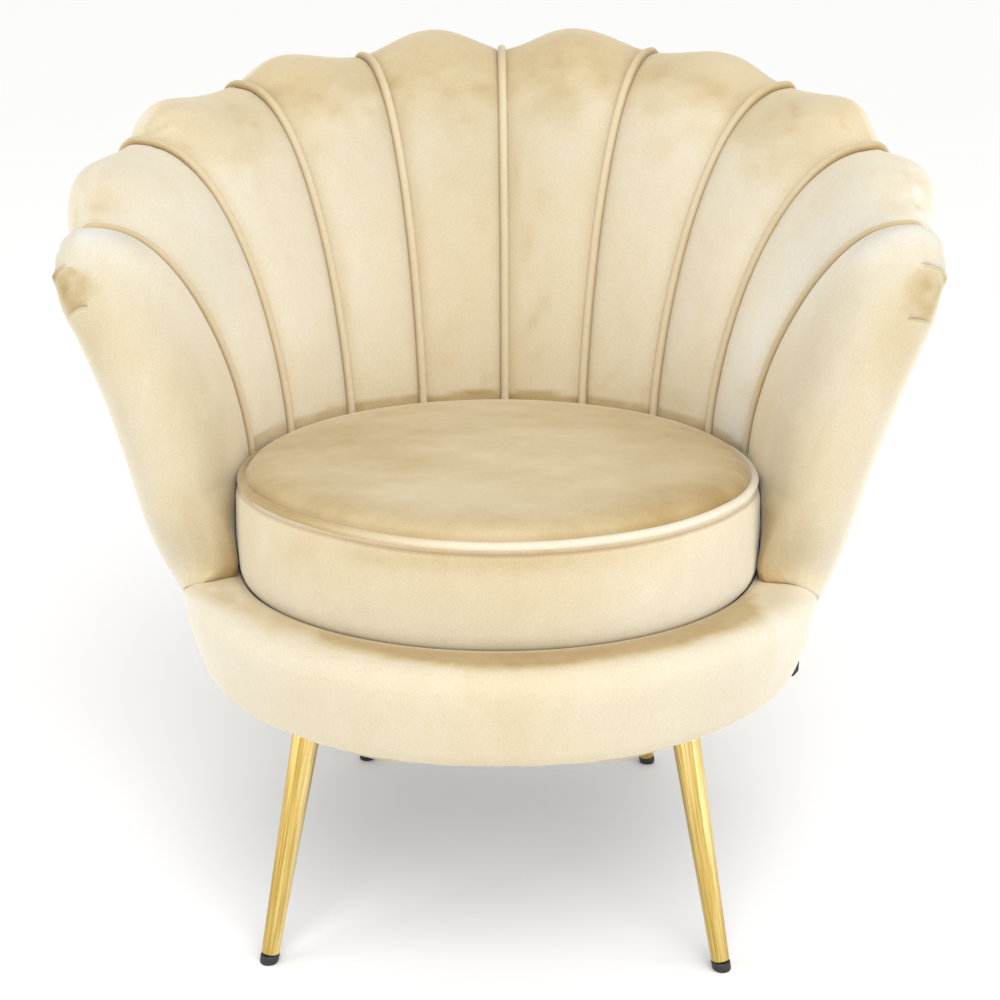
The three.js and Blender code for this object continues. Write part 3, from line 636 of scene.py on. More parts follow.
# brush marks and creases in the pile: centre x, y, half sizes, angle in degrees, how brown (negative: paler)
MARKS = [
    (84, 184, 6, 16, 12, .22), (100, 206, 16, 12, 0, .30), (96, 221, 5, 3.5, 0, .22), (122, 209, 8, 7, -20, .14), (76, 214, 3.5, 18, 4, .20), (110, 190, 26, 22, 0, .10),
    (150, 122, 18, 2.2, -42, .16), (171, 108, 12, 2.0, -18, .12), (160, 128, 20, 2.2, -22, .15), (190, 128, 20, 9, 10, .12), (186, 147, 9, 4, 30, .14), (231, 107, 5, 3, 0, .16),
    (255, 127, 4, 4, 0, .16), (243, 117, 14, 10, 0, .08), (231, 159, 6, 4, 30, .10), (140, 118, 4, 10, 35, -.12), (165, 133, 15, 2.0, -25, -.10),
    (310, 104, 22, 16, 0, .12), (306, 124, 9, 7, -20, .12), (285, 88, 18, 9, -20, .10), (341, 113, 12, 8, 0, .08), (366, 88, 9, 9, 0, .10),
    (437, 60, 24, 12, 0, .04), (410, 97, 9, 8, -25, .12), (395, 80, 9, 12, 20, .10), (483, 91, 12, 9, 0, .10), (455, 177, 10, 14, 0, .06), (482, 216, 7, 16, 8, .09), (440, 118, 20, 7, 0, -.06),
    (560, 76, 7, 18, -10, .14), (573, 110, 8, 8, 0, .14), (533, 75, 10, 14, 0, .06), (517, 172, 4, 22, 0, .12), (539, 198, 8, 14, -15, .11), (526, 243, 7, 20, 10, .12), (604, 78, 9, 16, 0, .14),
    (658, 74, 14, 10, -12, .10), (700, 84, 22, 9, 8, .10), (720, 93, 9, 6, 0, .14), (665, 92, 12, 9, -10, .08), (708, 112, 20, 7, 10, -.10), (740, 100, 10, 7, -35, .10),
    (795, 110, 6, 9, -10, .20), (787, 129, 7, 5, -30, .16), (845, 127, 6, 2.4, 30, .24), (840, 112, 11, 9, 0, .12), (768, 118, 12, 4, -50, .10), (810, 95, 22, 6, 0, .06), (872, 138, 5, 9, -30, .10),
    (904, 176, 16, 9, -8, .26), (918, 181, 5, 3, 25, .20), (920, 209, 6, 1.6, 34, .42), (894, 189, 12, 5, -8, .14), (927, 196, 6, 20, 0, .26), (898, 206, 16, 8, 0, .24), (880, 172, 14, 5, -12, .14), (912, 160, 10, 3, -12, .12),
    (931, 222, 1.5, 9, -20, -.16), (914, 192, 8, 2, -15, -.08),
    (345, 300, 5, 44, -4, .12), (444, 336, 9, 22, 32, .10), (446, 364, 9, 9, 0, .12), (485, 377, 5, 8, 0, .14), (470, 392, 16, 4, 0, .10), (420, 250, 4, 30, -4, .07),
    (535, 318, 6, 26, 28, .20), (527, 238, 8, 14, 0, .07), (530, 359, 10, 8, 0, .08), (548, 350, 16, 10, 0, .05), (545, 385, 16, 6, 0, -.08), (614, 374, 2.4, 18, 42, .16), (600, 388, 14, 6, 0, .06),
    (696, 372, 14, 34, 8, .12), (678, 398, 16, 12, 0, .12), (640, 392, 16, 8, 0, .08), (742, 394, 8, 24, 20, .08), (366, 386, 22, 14, 0, .05), (300, 380, 18, 22, 0, .09), (262, 400, 12, 26, -15, .10),
    (735, 408, 3, 12, 20, -.08), (560, 150, 14, 30, 0, -.05), (700, 170, 20, 40, 10, -.05), (430, 150, 22, 24, 0, -.05),
]


SEAT_MARKS = [(300, 552, 16, 12, 0, .14), (262, 545, 5, 20, 0, -.12), (375, 560, 40, 8, 8, .10), (255, 505, 14, 7, 30, .10), (640, 590, 26, 14, -10, -.06),
              (330, 440, 40, 9, -8, .07), (560, 425, 60, 8, 0, .05), (430, 480, 70, 18, 6, -.05), (650, 500, 50, 20, -12, .06)]

# the seat cushion's upper outline in the picture, which places the painted shade on the channels just above it
SEAT_LINE = [(240, 470), (253.6, 452.7), (290, 429.7), (326, 417.5), (353, 410.6), (391, 405), (429.6, 401.8), (487, 398.8), (544.5, 400.3),
             (602, 406), (659, 416.4), (709, 431.7), (743.5, 458.5), (756, 475)]


def marks(P, places=MARKS):
    px = pixel(P)
    t = np.zeros(P.shape[:-1])
    for x, y, rx, ry, ang, amount in places:
        c, s_ = math.cos(math.radians(ang)), math.sin(math.radians(ang))
        dx, dy = px[..., 0] - x, px[..., 1] - y
        a, b = (dx * c + dy * s_) / rx, (dy * c - dx * s_) / ry
        t = t + amount * np.exp(-(a * a + b * b))
    return t * np.clip(1 + .9 * cloud(P, .012, 71, 3), .2, 2)


# how brown the pile lies over the rim of each channel
RIM_TONE = [0, .05, .23, .30, .27, .27, .28, .26, .08]
# how dark the painted shade line beside each piping is
SEAM_SHADE = [1.0, 1.0, .9, .62, .55, .6, .95, .95, 1.0]


def dimming(K, T):
    """Painted shade and painted light on the channels: their middle is darkened, their rim and the outer channels
    lightened, to even out the studio's light.
    """
    at = np.clip(K - 1.5, 0, 7)
    middle = .13 * np.exp(-((T - .56) / .20) ** 2 - ((at - 3.1) / 1.9) ** 2)
    right = .12 * np.exp(-((T - .30) / .24) ** 2 - ((at - 7) / .9) ** 2)
    left = .07 * (1 - step(.2, .5, T)) * np.exp(-(at / .8) ** 2)
    return middle - .08 * step(.78, 1.0, T) * step(.2, 1.2, at) - right - left


def hard_side(s, way):
    """1 where the cloth dives sharply beside seam s (its outer side), 0 where it runs up softly to the piping."""
    outer = float(step(5.2, 5.9, s))
    return outer if way > 0 else 1 - outer


def petal(j):
    """Channel between seams j and j + 1 (1..8)."""
    edge = np.array([0, .006, .013, .021, .030, .041, .055, .072, .093, .12, .155, .20, .25, .305, .365, .43, .5])
    u = np.concatenate([edge, 1 - edge[-2::-1]])
    tau = even_taus(j + .5, 132, dense=lambda s: 1 + 1.2 * (s > .85))
    U, T = np.meshgrid(u, tau, indexing="ij")
    K = j + U
    p, t, n, b, width = shell_frame(K, T)
    d = np.minimum(U, 1 - U) * width
    h = swell(j, T) * lobe(U, T, j)
    # small unevenness of the padding, none at the seams
    soft = np.clip(d / .03, 0, 1)
    h = h + .0011 * cloud(p, .075, 11 + j, 3, (1, 1, 1.6)) * soft
    # little tucks that run out from the seams at the rim
    along = T * 26
    tuck = np.maximum(0, lattice(np.stack([along, 0 * along + j, np.where(U < .5, 0., 5.)], -1), 31 + j))
    h = h - .0008 * tuck * np.exp(-((d - .010) / .012) ** 2) * step(.72, .95, T) * (1 - step(1.6, 1.9, T))
    hard = np.where(U < .5, hard_side(j, 1), hard_side(j + 1, -1))
    h = h - E_SEAM * (.42 + .58 * hard) * np.exp(-(d / .0042) ** 1.6)
    F = p + h[..., None] * n
    pad = hermite(TAUS, np.array([24, 24, 24, 24, 24, 24, 22, 18, 15, 12, 10, 9]) / 1000, T)
    B = p - pad[..., None] * n
    # the last rows tuck down behind the rim, against the outer cover
    back = step(1.86, 2.0, T)
    radial = unit(np.stack([p[..., 0], p[..., 1], 0 * p[..., 0]], -1))
    F = F - radial * (.006 * back)[..., None] - np.array([0, 0, 1]) * (.010 * back)[..., None]
    co, faces = closed_slab(F, B)
    # lie of the pile: browner over the rim, with a ragged border, and paler at the very top as painted sheen along the
    # outline; painted sheen also makes the channels paler towards the sides of the shell, and painted light lifts the
    # last channel, which stands in shade
    px = F
    rag = .13 * cloud(px, .05, 61, 3, (1, 1, 1)) + .07 * cloud(px, .016, 63, 2)
    rim = step(.55, .78, T + rag) * (1 - .95 * step(.98, 1.12, T))
    side = abs(j + U - 5) / 4
    tone = .41 - .25 * side - .10 * step(7.6, 8.8, j + U) + RIM_TONE[j] * rim
    tone = tone + .05 * (1 - step(.0, .22, T)) + .75 * marks(F)
    # painted soft shade close beside the soft side of a piping
    tone = tone + .16 * (1 - hard) * np.exp(-(d / .012) ** 2) * (1 - .5 * rim)
    # painted shade: a dark line beside each piping, stronger on its hard side, with a wider soft shade
    amount = np.where(U < .5, SEAM_SHADE[j - 1], SEAM_SHADE[j])
    crease_shade = (.24 + .56 * hard * amount) * np.exp(-(d / (.0026 + .0008 * hard)) ** 2) + (.08 + .08 * hard) * np.exp(-(d / .010) ** 2)
    crease_shade = crease_shade * (.70 + .30 * (1 - step(.2, .9, T)))
    # painted shade on the pile just above the seat cushion
    pq = pixel(F)
    edge = np.interp(pq[..., 0], [q[0] for q in SEAT_LINE], [q[1] for q in SEAT_LINE])
    tall = 8 + 7 * np.exp(-((pq[..., 0] - 262) / 26) ** 2) + 5 * np.exp(-((pq[..., 0] - 735) / 20) ** 2)
    low = step(-1.6, 1.6, pq[..., 1] - (edge - tall) + 2.5 * cloud(F, .016, 65, 2)) * (T < .5)
    tone = tone + .34 * low
    # painted shade on the part below seat level
    crease_shade = np.maximum(crease_shade, .30 * (1 - step(-.17, -.10, T)))
    back_attr = np.concatenate([tone.ravel(), .5 + 0 * tone.ravel()])
    back_crease = np.concatenate([crease_shade.ravel(), .3 + 0 * crease_shade.ravel()])
    # painted shade and painted light on each channel
    painted_dim = dimming(K, T)
    ob = make("channel_cover_%02d" % (j + 1), co, outward(co, faces),
              {"tone": back_attr, "crease_shade": back_crease, "painted_dim": np.concatenate([painted_dim.ravel(), 0 * painted_dim.ravel()])})
    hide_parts("channel_%02d" % (j + 1))
    return dress(ob, M_VELVET)


for j in range(1, 9):
    petal(j)


# ------------------------------------------------------------------ pipings
def piping(s):
    lo = -.9
    tau = even_taus(s, 190, lo, 2.0)
    p, t, n, b, width = shell_frame(np.full(len(tau), float(s)), tau)
    lift = .0006
    path = p + n * lift
    # past the rim the cord tucks in under the channels' rear edge
    k = step(1.75, 2.0, tau)
    radial = unit(np.stack([p[:, 0], p[:, 1], 0 * p[:, 0]], -1))
    path = path - radial * (.008 * k)[:, None] - np.array([0, 0, 1]) * (.012 * k)[:, None]
    if s in (1, 9):
        path = path - n * (.0065 * step(.98, 1.30, tau))[:, None]
    wob = .00022 * cloud(p, .03, 81 + s, 2)
    path = path + b * wob[:, None]
    r = PIPE_R * (1 + .025 * cloud(p, .012, 91 + s, 2))
    co, faces = tube(path, r, 18, roll=n)
    m, sides = len(path), 18
    a = 2 * np.pi * np.arange(sides) / sides
    # painted shade on the cord: dark on the side facing the frame, and browner and darker on its side away from the
    # middle
    low = np.clip(-np.cos(a), 0, 1)[None, :] * np.ones((m, 1))          # side facing the frame
    way = 2 * float(step(5.2, 5.9, s)) - 1
    outer = (np.sin(a) * way)[None, :] * np.ones((m, 1))                # 1 on the side away from the middle
    crease_shade = np.maximum(.9 * step(.25, .85, low), .30 * step(.45, 1.0, outer - .35 * np.cos(a)[None, :]))
    crease_shade = np.concatenate([crease_shade.ravel(), [0, 0]])
    rim = step(.62, .9, tau)[:, None] * np.ones((1, sides))
    tone = .46 + .14 * rim - .04 * abs(s - 5) / 4 + .14 * outer * abs(way)
    tone = np.concatenate([tone.ravel(), [.3, .3]])
    ob = make("piping_%d" % s, co, faces, {"tone": tone, "crease_shade": crease_shade})
    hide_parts("seam_piping_%d" % s)
    return dress(ob, M_PIPING)


for s in range(1, 10):
    piping(s)


# ------------------------------------------------------------------ arms
def drum_top(x, y):
    r = np.hypot(x, y)
    return np.interp(r, DRUM[:13, 0], DRUM[:13, 1])


def drum_side(z):
    return np.interp(z, DRUM[:10:-1, 1], DRUM[:10:-1, 0])


def near_line(px, pts):
    """Distance in pixels to a polyline, where along it (0..1), and on which side (sign)."""
    best = np.full(px.shape[:-1], 1e9)
    where = np.zeros(px.shape[:-1])
    sign = np.zeros(px.shape[:-1])
    pts = np.asarray(pts, float)
    for i in range(len(pts) - 1):
        a, b = pts[i], pts[i + 1]
        ab = b - a
        t = np.clip(((px - a) @ ab) / (ab @ ab), 0, 1)
        q = a + t[..., None] * ab
        d = np.linalg.norm(px - q, axis=-1)
        s = np.sign((px[..., 0] - a[0]) * ab[1] - (px[..., 1] - a[1]) * ab[0])
        take = d < best
        best = np.where(take, d, best)
        where = np.where(take, (i + t) / (len(pts) - 1), where)
        sign = np.where(take, s, sign)
    return best, where, sign


PLEATS = {
    -1: [[(67, 264.5), (63.9, 266.1), (59.1, 268.8), (55.9, 272.2), (54.2, 277), (53.4, 281)],
         [(89, 307.2), (86, 306.4), (82, 306.6), (76.7, 309.5), (70.3, 313.1), (67.9, 316), (65.6, 321)]],
    1: [[(918, 263), (923.8, 264.3), (930.2, 265.1), (935.7, 267.1), (940.5, 269.5), (943.7, 273), (944.6, 277), (944.6, 282)],
        [(906, 320), (911, 318.5), (915.8, 318.9), (922.2, 319.9), (928, 321.5), (934.5, 323.5)]],
}

# upper and lower borders of the gusset in the picture: x (mirrored on the right), y
GUSSET_TOP = {-1: ([50, 54, 56, 59, 64, 70, 80, 92, 104], [281, 277, 272.5, 269, 266.5, 266, 271, 281, 292]),
              1: ([-946, -944.5, -940.5, -935.7, -930, -924, -918, -908, -900], [284, 277, 270, 267.6, 265.8, 265.2, 268, 280, 292])}
GUSSET_LOW = {-1: ([50, 65, 70, 77, 84, 90, 104], [323, 320, 312.5, 308.5, 304, 300, 290]),
              1: ([-946, -934, -928, -922, -916, -911, -900], [326, 323, 320, 318.5, 317, 316, 312])}

# plan of each arm's foot, from the seam round its front to the outer line; it stands on the drum's rim
# as far as the fifth entry from the end, and laps down over the drum's side after that
FOOT_V = np.array([0, .10, .20, .28, .335, .365, .39, .425, .46, .50, .53, .58, .66, .75, .87, 1.0])
FOOT = {
    -1: np.array([(241.6, 55.8), (245.4, 22), (246.2, -10), (243.6, -39), (239.6, -56), (237.4, -63), (239.6, -69.4), (248.5, -75.2),
                  (258.5, -81.0), (268, -81.2), (276.6, -74.7), (284.4, -65), (289.6, -50.8), (293.6, -31), (296.2, -5), (297.4, 24.5)]) / 1000,
    1: np.array([(241.6, 55.8), (242.8, 22), (242.4, -10), (240.5, -39), (236.8, -56), (235.6, -65), (238.5, -71), (247, -72.6),
                 (257, -73.4), (266.6, -74.6), (275.2, -72.4), (283.6, -65.0), (289.6, -51.6), (293.6, -33), (296.2, -6), (297.8, 24.5)]) / 1000,
}
FOOT_Z = np.array([316] * 11 + [309.4, 302, 293, 281, 266]) / 1000


def arm_grid(side):
    seam = 1.0 if side < 0 else 9.0
    tau = np.concatenate([[-1.12, -1.09, -1.06, -1.04, -1.02, -1.01], even_taus(seam, 262, dense=lambda s: 1 + 2.6 * (s > .74) + 1.2 * (s < -.7))])
    v = np.concatenate([np.array([0, .006, .012, .019, .027, .037, .05]), np.linspace(.065, .30, 22), np.linspace(.30, .56, 60)[1:], np.linspace(.56, 1.0, 52)[1:],
                        np.array([1.012, 1.025, 1.04, 1.06, 1.09])])
    return seam, tau, v


def arm_shape(side, seam, tau, v):
    """The arm's cloth before wrinkles: points, the seam's own points and normals, outer line, front line."""
    Vv, T = np.meshgrid(v, tau, indexing="ij")
    Tc = np.clip(T, -1, 2)

    def upper(Vq, Tq):
        """The arm above seat level: round its inner side, its front and its outer side."""
        q0, _, nq, _, _ = shell_frame(np.full(Tq.shape, seam), Tq)
        F = hermite(TAUS, ARM_FRONT[side], Tq) * np.array([side, 1, 1])
        O = hermite(TAUS, ARM_OUTER[side], Tq) * np.array([side, 1, 1])
        ex = 2.2 + .8 * (1 - step(-.2, .45, Tq))
        a1 = np.clip(Vq, 0, .5) * np.pi
        s1 = np.sin(a1) ** (2 / ex)
        c1 = 1 - np.maximum(0, np.cos(a1)) ** (2 / ex)
        A = np.stack([q0[..., 0] + (F[..., 0] - q0[..., 0]) * c1, q0[..., 1] + (F[..., 1] - q0[..., 1]) * s1,
                      q0[..., 2] + (F[..., 2] - q0[..., 2]) * c1], -1)
        a2 = np.clip(Vq - .5, 0, .5) * np.pi
        s2 = np.sin(a2) ** (2 / 2.5)
        c2 = 1 - np.maximum(0, np.cos(a2)) ** (2 / 2.5)
        Bq = np.stack([F[..., 0] + (O[..., 0] - F[..., 0]) * s2, F[..., 1] + (O[..., 1] - F[..., 1]) * c2,
                       F[..., 2] + (O[..., 2] - F[..., 2]) * s2], -1)
        P = np.where((Vq <= .5)[..., None], A, Bq)
        swell = np.where(Tq <= 0, .5, np.minimum(8, 40 * Tq)) / 1000 * np.sin(np.clip(Vq / .42, 0, 1) * np.pi) * (1 - .5 * step(.80, 1.30, Tq))
        return P + nq * swell[..., None], q0, nq, O, F

    P, p0, n, O, F = upper(Vv, np.maximum(Tc, 0))
    # below seat level the section changes to the plan of the foot
    vc = np.clip(v, 0, 1)
    foot = hermite(FOOT_V, FOOT[side], vc)
    fz = hermite(FOOT_V, FOOT_Z, vc)
    on_rim = vc <= .53
    fz = np.where(on_rim, drum_top(foot[:, 0], foot[:, 1]) + .0006, fz)
    k = (vc > .53) & (vc < .58)
    z53 = drum_top(*hermite(FOOT_V, FOOT[side], np.array([.53]))[0]) + .0006
    fz = np.where(k, z53 + (.3094 - z53) * (vc - .53) / .05, fz)
    G = np.stack([foot[:, 0] * side, foot[:, 1], fz], -1)
    zero = np.zeros(len(v))
    P1, q1, n1, O1, F1 = upper(v, zero)
    Pe, _, _, _, _ = upper(v, zero + .05)
    span = np.linalg.norm(P1 - G, axis=-1, keepdims=True)
    M1 = unit(Pe - P1) * span
    out = unit(np.stack([G[:, 0], G[:, 1], 0 * G[:, 0]], -1))
    lap = step(.56, .80, vc)[:, None]
    M0 = unit(np.array([0, 0, 1.0]) + out * (FOOT_OUT[side] * lap) + np.array([0, -.16, 0]) * ((1 - lap) * step(.36, .42, vc)[:, None])) * span
    t = np.clip(T + 1, 0, 1)[..., None]
    g, p1, m0, m1 = G[:, None], P1[:, None], M0[:, None], M1[:, None]
    low = (2 * t**3 - 3 * t**2 + 1) * g + (t**3 - 2 * t**2 + t) * m0 + (-2 * t**3 + 3 * t**2) * p1 + (t**3 - t**2) * m1
    # the seam edge stays on the shell's own surface
    pt, nt_ = shell_frame(np.full(T.shape, seam), Tc)[0], shell_frame(np.full(T.shape, seam), Tc)[2]
    hold = (1 - step(.0, .10, Vv))[..., None]
    low = low * (1 - hold) + (pt + (low - pt) * .0 + (P - p0)) * hold
    P = np.where((T < 0)[..., None], low, P)
    p0 = np.where((T < 0)[..., None], pt, p0)
    n = np.where((T < 0)[..., None], nt_, n)
    # rear edge tucks in under the outer cover
    ex = np.clip(Vv - 1, 0, 1)
    P = P + np.stack([-side * ex * .055, ex * .16, 0 * ex], -1)
    # lower end: turned in under the arm, or in against the drum's side
    tuck = np.clip((-1 - T) / .12, 0, 1)
    towards = np.array([side * .262, .02, 0]) - P * np.array([1, 1, 0])
    towards = unit(towards)
    P = P + towards * (.011 * tuck)[..., None]
    P[..., 2] = P[..., 2] - (.003 * tuck) * step(.52, .62, Vv)
    return P, T, Tc, Vv, p0, n, O, F


def arm(side):
    seam, tau, v = arm_grid(side)
    P, T, Tc, Vv, p0, n, O, F = arm_shape(side, seam, tau, v)
    # the turn from the front to the outer side is soft at the top
    ease = (.5 * np.exp(-((Vv - .5) / .085) ** 2) * step(.45, .85, T))[1:-1, :, None]
    for _ in range(420):
        P[1:-1] = P[1:-1] + ease * ((P[2:] + P[:-2]) / 2 - P[1:-1])
    ease = (.5 * np.exp(-((T - 1.02) / .14) ** 2) * step(.015, .08, Vv))[:, 1:-1, None]
    for _ in range(50):
        P[:, 1:-1] = P[:, 1:-1] + ease * ((P[:, 2:] + P[:, :-2]) / 2 - P[:, 1:-1])
    # padding swells against the cushion's side
    rc = np.hypot(P[..., 0] - CUSH_X, P[..., 1])
    gap = np.clip(rc - (CUSH_R + .0006), 0, 1)
    move = gap - gap * gap / (gap + .016)
    move = move * step(.318, .334, P[..., 2]) * (1 - step(.388, .405, P[..., 2])) * (Vv < .5)
    P[..., 0] = P[..., 0] - (P[..., 0] - CUSH_X) / rc * move
    P[..., 1] = P[..., 1] - P[..., 1] / rc * move
    # seam edge dives beside the piping
    d = np.linalg.norm(P - p0, axis=-1)
    P = P - n * (E_SEAM * np.exp(-(d / .0042) ** 1.6) * (Vv < .3))[..., None]
    # surface normals of the arm itself, for wrinkles
    gu, gv = np.gradient(P, axis=0), np.gradient(P, axis=1)
    nn = unit(np.cross(gu, gv))
    mid = np.array([side * .33, .03, .46])
    if np.sum(nn * (P - mid)) < 0:
        nn = -nn
    px = pixel(P)
    h = .0010 * cloud(P, .07, 41 + side, 3, (1, 1, 1.5)) * np.clip(d / .03, 0, 1) * step(-1, -.7, T)
    # faint upright wrinkles above the foot's front
    wr = np.maximum(0, lattice(np.stack([P[..., 0] / .011, P[..., 2] / .060, 0 * T + side], -1), 47))
    h = h - .0009 * wr * np.exp(-((P[..., 2] - .345) / .020) ** 2) * step(.42, .47, Vv) * (1 - step(.54, .6, Vv))
    # painted shade: a dark line beside the piping
    crease_shade = .85 * np.exp(-(d / .0030) ** 2) * (Vv < .3) + .22 * np.exp(-(d / .011) ** 2) * (Vv < .3)
    # how brown the pile looks, with painted sheen making it paler beside the piping, at the top and on the outer side
    tone = .35 - .12 * step(.10, .55, Tc) * np.exp(-(np.clip(Vv - .06, 0, 1) / .22) ** 2) - .10 * step(.84, 1.0, Tc) - .14 * step(.58, .80, Vv)
    tone = tone - .05 * (1 - step(.12, .34, Vv)) - .04 * (side > 0) * (1 - step(-.7, -.2, T))
    tone = tone + .10 * (1 - step(-.1, .50, T)) * (1 - step(.5, .62, Vv)) + .07 * cloud(P, .035, 57 + side, 3, (1, 1, 1.8))
    # pleats at the outer top corner: each a fold lapped over the cloth below it
    zone = ((Vv > .25) & (T > .4)) * (1 - .9 * step(.62, .80, Vv))
    for i, line in enumerate(PLEATS[side]):
        dist, where, sg = near_line(px, line)
        below = np.where(sg * side > 0, dist, -dist)
        end = step(0, .22, where) * (1 if i == 0 else 1 - .55 * step(.55, .9, where))
        up, dn = np.clip(-below, 0, 99), np.clip(below, 0, 99)
        ridge = .0024 * np.exp(-(up / 4.2) ** 1.3) * (below <= 0)
        dip = -.0016 * np.exp(-dn / 2.6) * (below > 0)
        h = h + (ridge + dip) * end * zone
        # painted shade: a dark line under each fold with soft shade below it; above the line a brown strip, then a
        # paler lip as a painted highlight
        crease_shade = np.maximum(crease_shade, .40 * np.exp(-((below - .6) / .95) ** 2) * end * zone)
        crease_shade = np.maximum(crease_shade, .16 * np.exp(-dn / 3.0) * (below > 0) * end * zone)
        tone = tone + (.10 * np.exp(-((up - 1.8) / 1.3) ** 2) - .12 * np.exp(-((up - 4.2) / 1.1) ** 2)) * (below <= 0) * end * zone
    # the browner gusset between the two pleats, fading on the inner side and down the arm
    y0 = np.interp(px[..., 0] * -side, *GUSSET_TOP[side])
    y1 = np.interp(px[..., 0] * -side, *GUSSET_LOW[side])
    cx = 70 if side < 0 else 928
    inner = (px[..., 0] - cx) * -side
    under = step(-1.5 - .30 * np.clip(inner, 0, 40), 2.5 + .30 * np.clip(inner, 0, 40), px[..., 1] - y0 + 8 * step(4, 30, inner) * 1.0)
    above = .35 + .65 * step(-1.5, 2.5, y1 - px[..., 1])
    gus = under * above * np.exp(-(np.clip(inner, 0, 99) / 22) ** 2) * np.exp(-((px[..., 1] - 290) / 30) ** 2 * .55) * zone
    gus = gus * (.90 + .35 * cloud(P, .012, 55 + side, 2))
    tone = tone + (.50 if side < 0 else .42) * gus
    tone = tone - .10 * np.exp(-((px[..., 0] - (106 if side < 0 else 894)) / 40) ** 2 - ((px[..., 1] - 244) / 34) ** 2) * (Vv < .6)
    tone = tone + .16 * np.exp(-((px[..., 0] - (96 if side < 0 else 893)) / 26) ** 2 - ((px[..., 1] - 345) / 42) ** 2) * zone
    P = P + nn * h[..., None]
    # painted shade where the arm meets the seat cushion and the drum
    toC = np.hypot(P[..., 0] - CUSH_X, P[..., 1]) - CUSH_R
    beside = 1 - step(.385, .415, P[..., 2])
    near = np.exp(-np.clip(toC, 0, 1) / .0075) * beside
    gap = P[..., 2] - drum_top(P[..., 0], P[..., 1])
    rr = np.hypot(P[..., 0], P[..., 1])
    line = np.exp(-(np.clip(gap, 0, 1) / .0030) ** 2) * (1 - step(.270, .283, rr)) * (Vv < .56)
    shade = np.exp(-np.clip(gap, 0, 1) / .012) * (1 - step(.255, .283, rr)) * (Vv < .56)
    tone = tone + .40 * np.exp(-np.clip(toC, 0, 1) / .020) * beside + .30 * shade
    crease_shade = np.maximum(crease_shade, np.maximum(.24 * near, .58 * line))
    # the front of the arm stands in more light than the rest
    painted_dim = .125 * np.maximum(step(.14, .34, Vv), step(.62, .9, T)) * (1 - step(.62, .80, Vv)) * step(-.95, -.55, T)
    # painted light lifts the colour beside the piping
    painted_dim = painted_dim - .07 * (1 - step(.10, .26, Vv)) * (1 - step(.62, .9, T))
    core = (p0 + O) / 2
    core[..., 1] = core[..., 1] + .15 * (F[..., 1] - core[..., 1])
    core[..., 2] = np.where(T < 0, np.maximum(P[..., 2], .345), core[..., 2])
    dd = core - P
    ln = np.linalg.norm(dd, axis=-1, keepdims=True)
    B = P + dd / ln * np.minimum(.018, .55 * ln)
    co, faces = closed_slab(P, B)
    zero = np.zeros(P.shape[:2]).ravel()
    ob = make("arm_cover_" + ("left" if side < 0 else "right"), co, outward(co, faces),
              {"tone": np.concatenate([tone.ravel(), zero + .34]), "crease_shade": np.concatenate([crease_shade.ravel(), zero + .10]),
               "painted_dim": np.concatenate([painted_dim.ravel(), zero])})
    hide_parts("channel_01" if side < 0 else "channel_10")
    return dress(ob, M_VELVET)


arm(-1)
arm(1)

# ------------------------------------------------------------------ outer cover of the back
COVER_Z = np.array([215, 236, 262, 290, 317, 400, 500]) / 1000
COVER_R = np.array([293, 297, 300.8, 306.5, 313, 334, 366]) / 1000
COVER_PSI = 85.2


def seam_number(psi):
    k = np.linspace(.5, 9.5, 400)
    return np.interp(psi, seam_values(k)[:, 1], k)


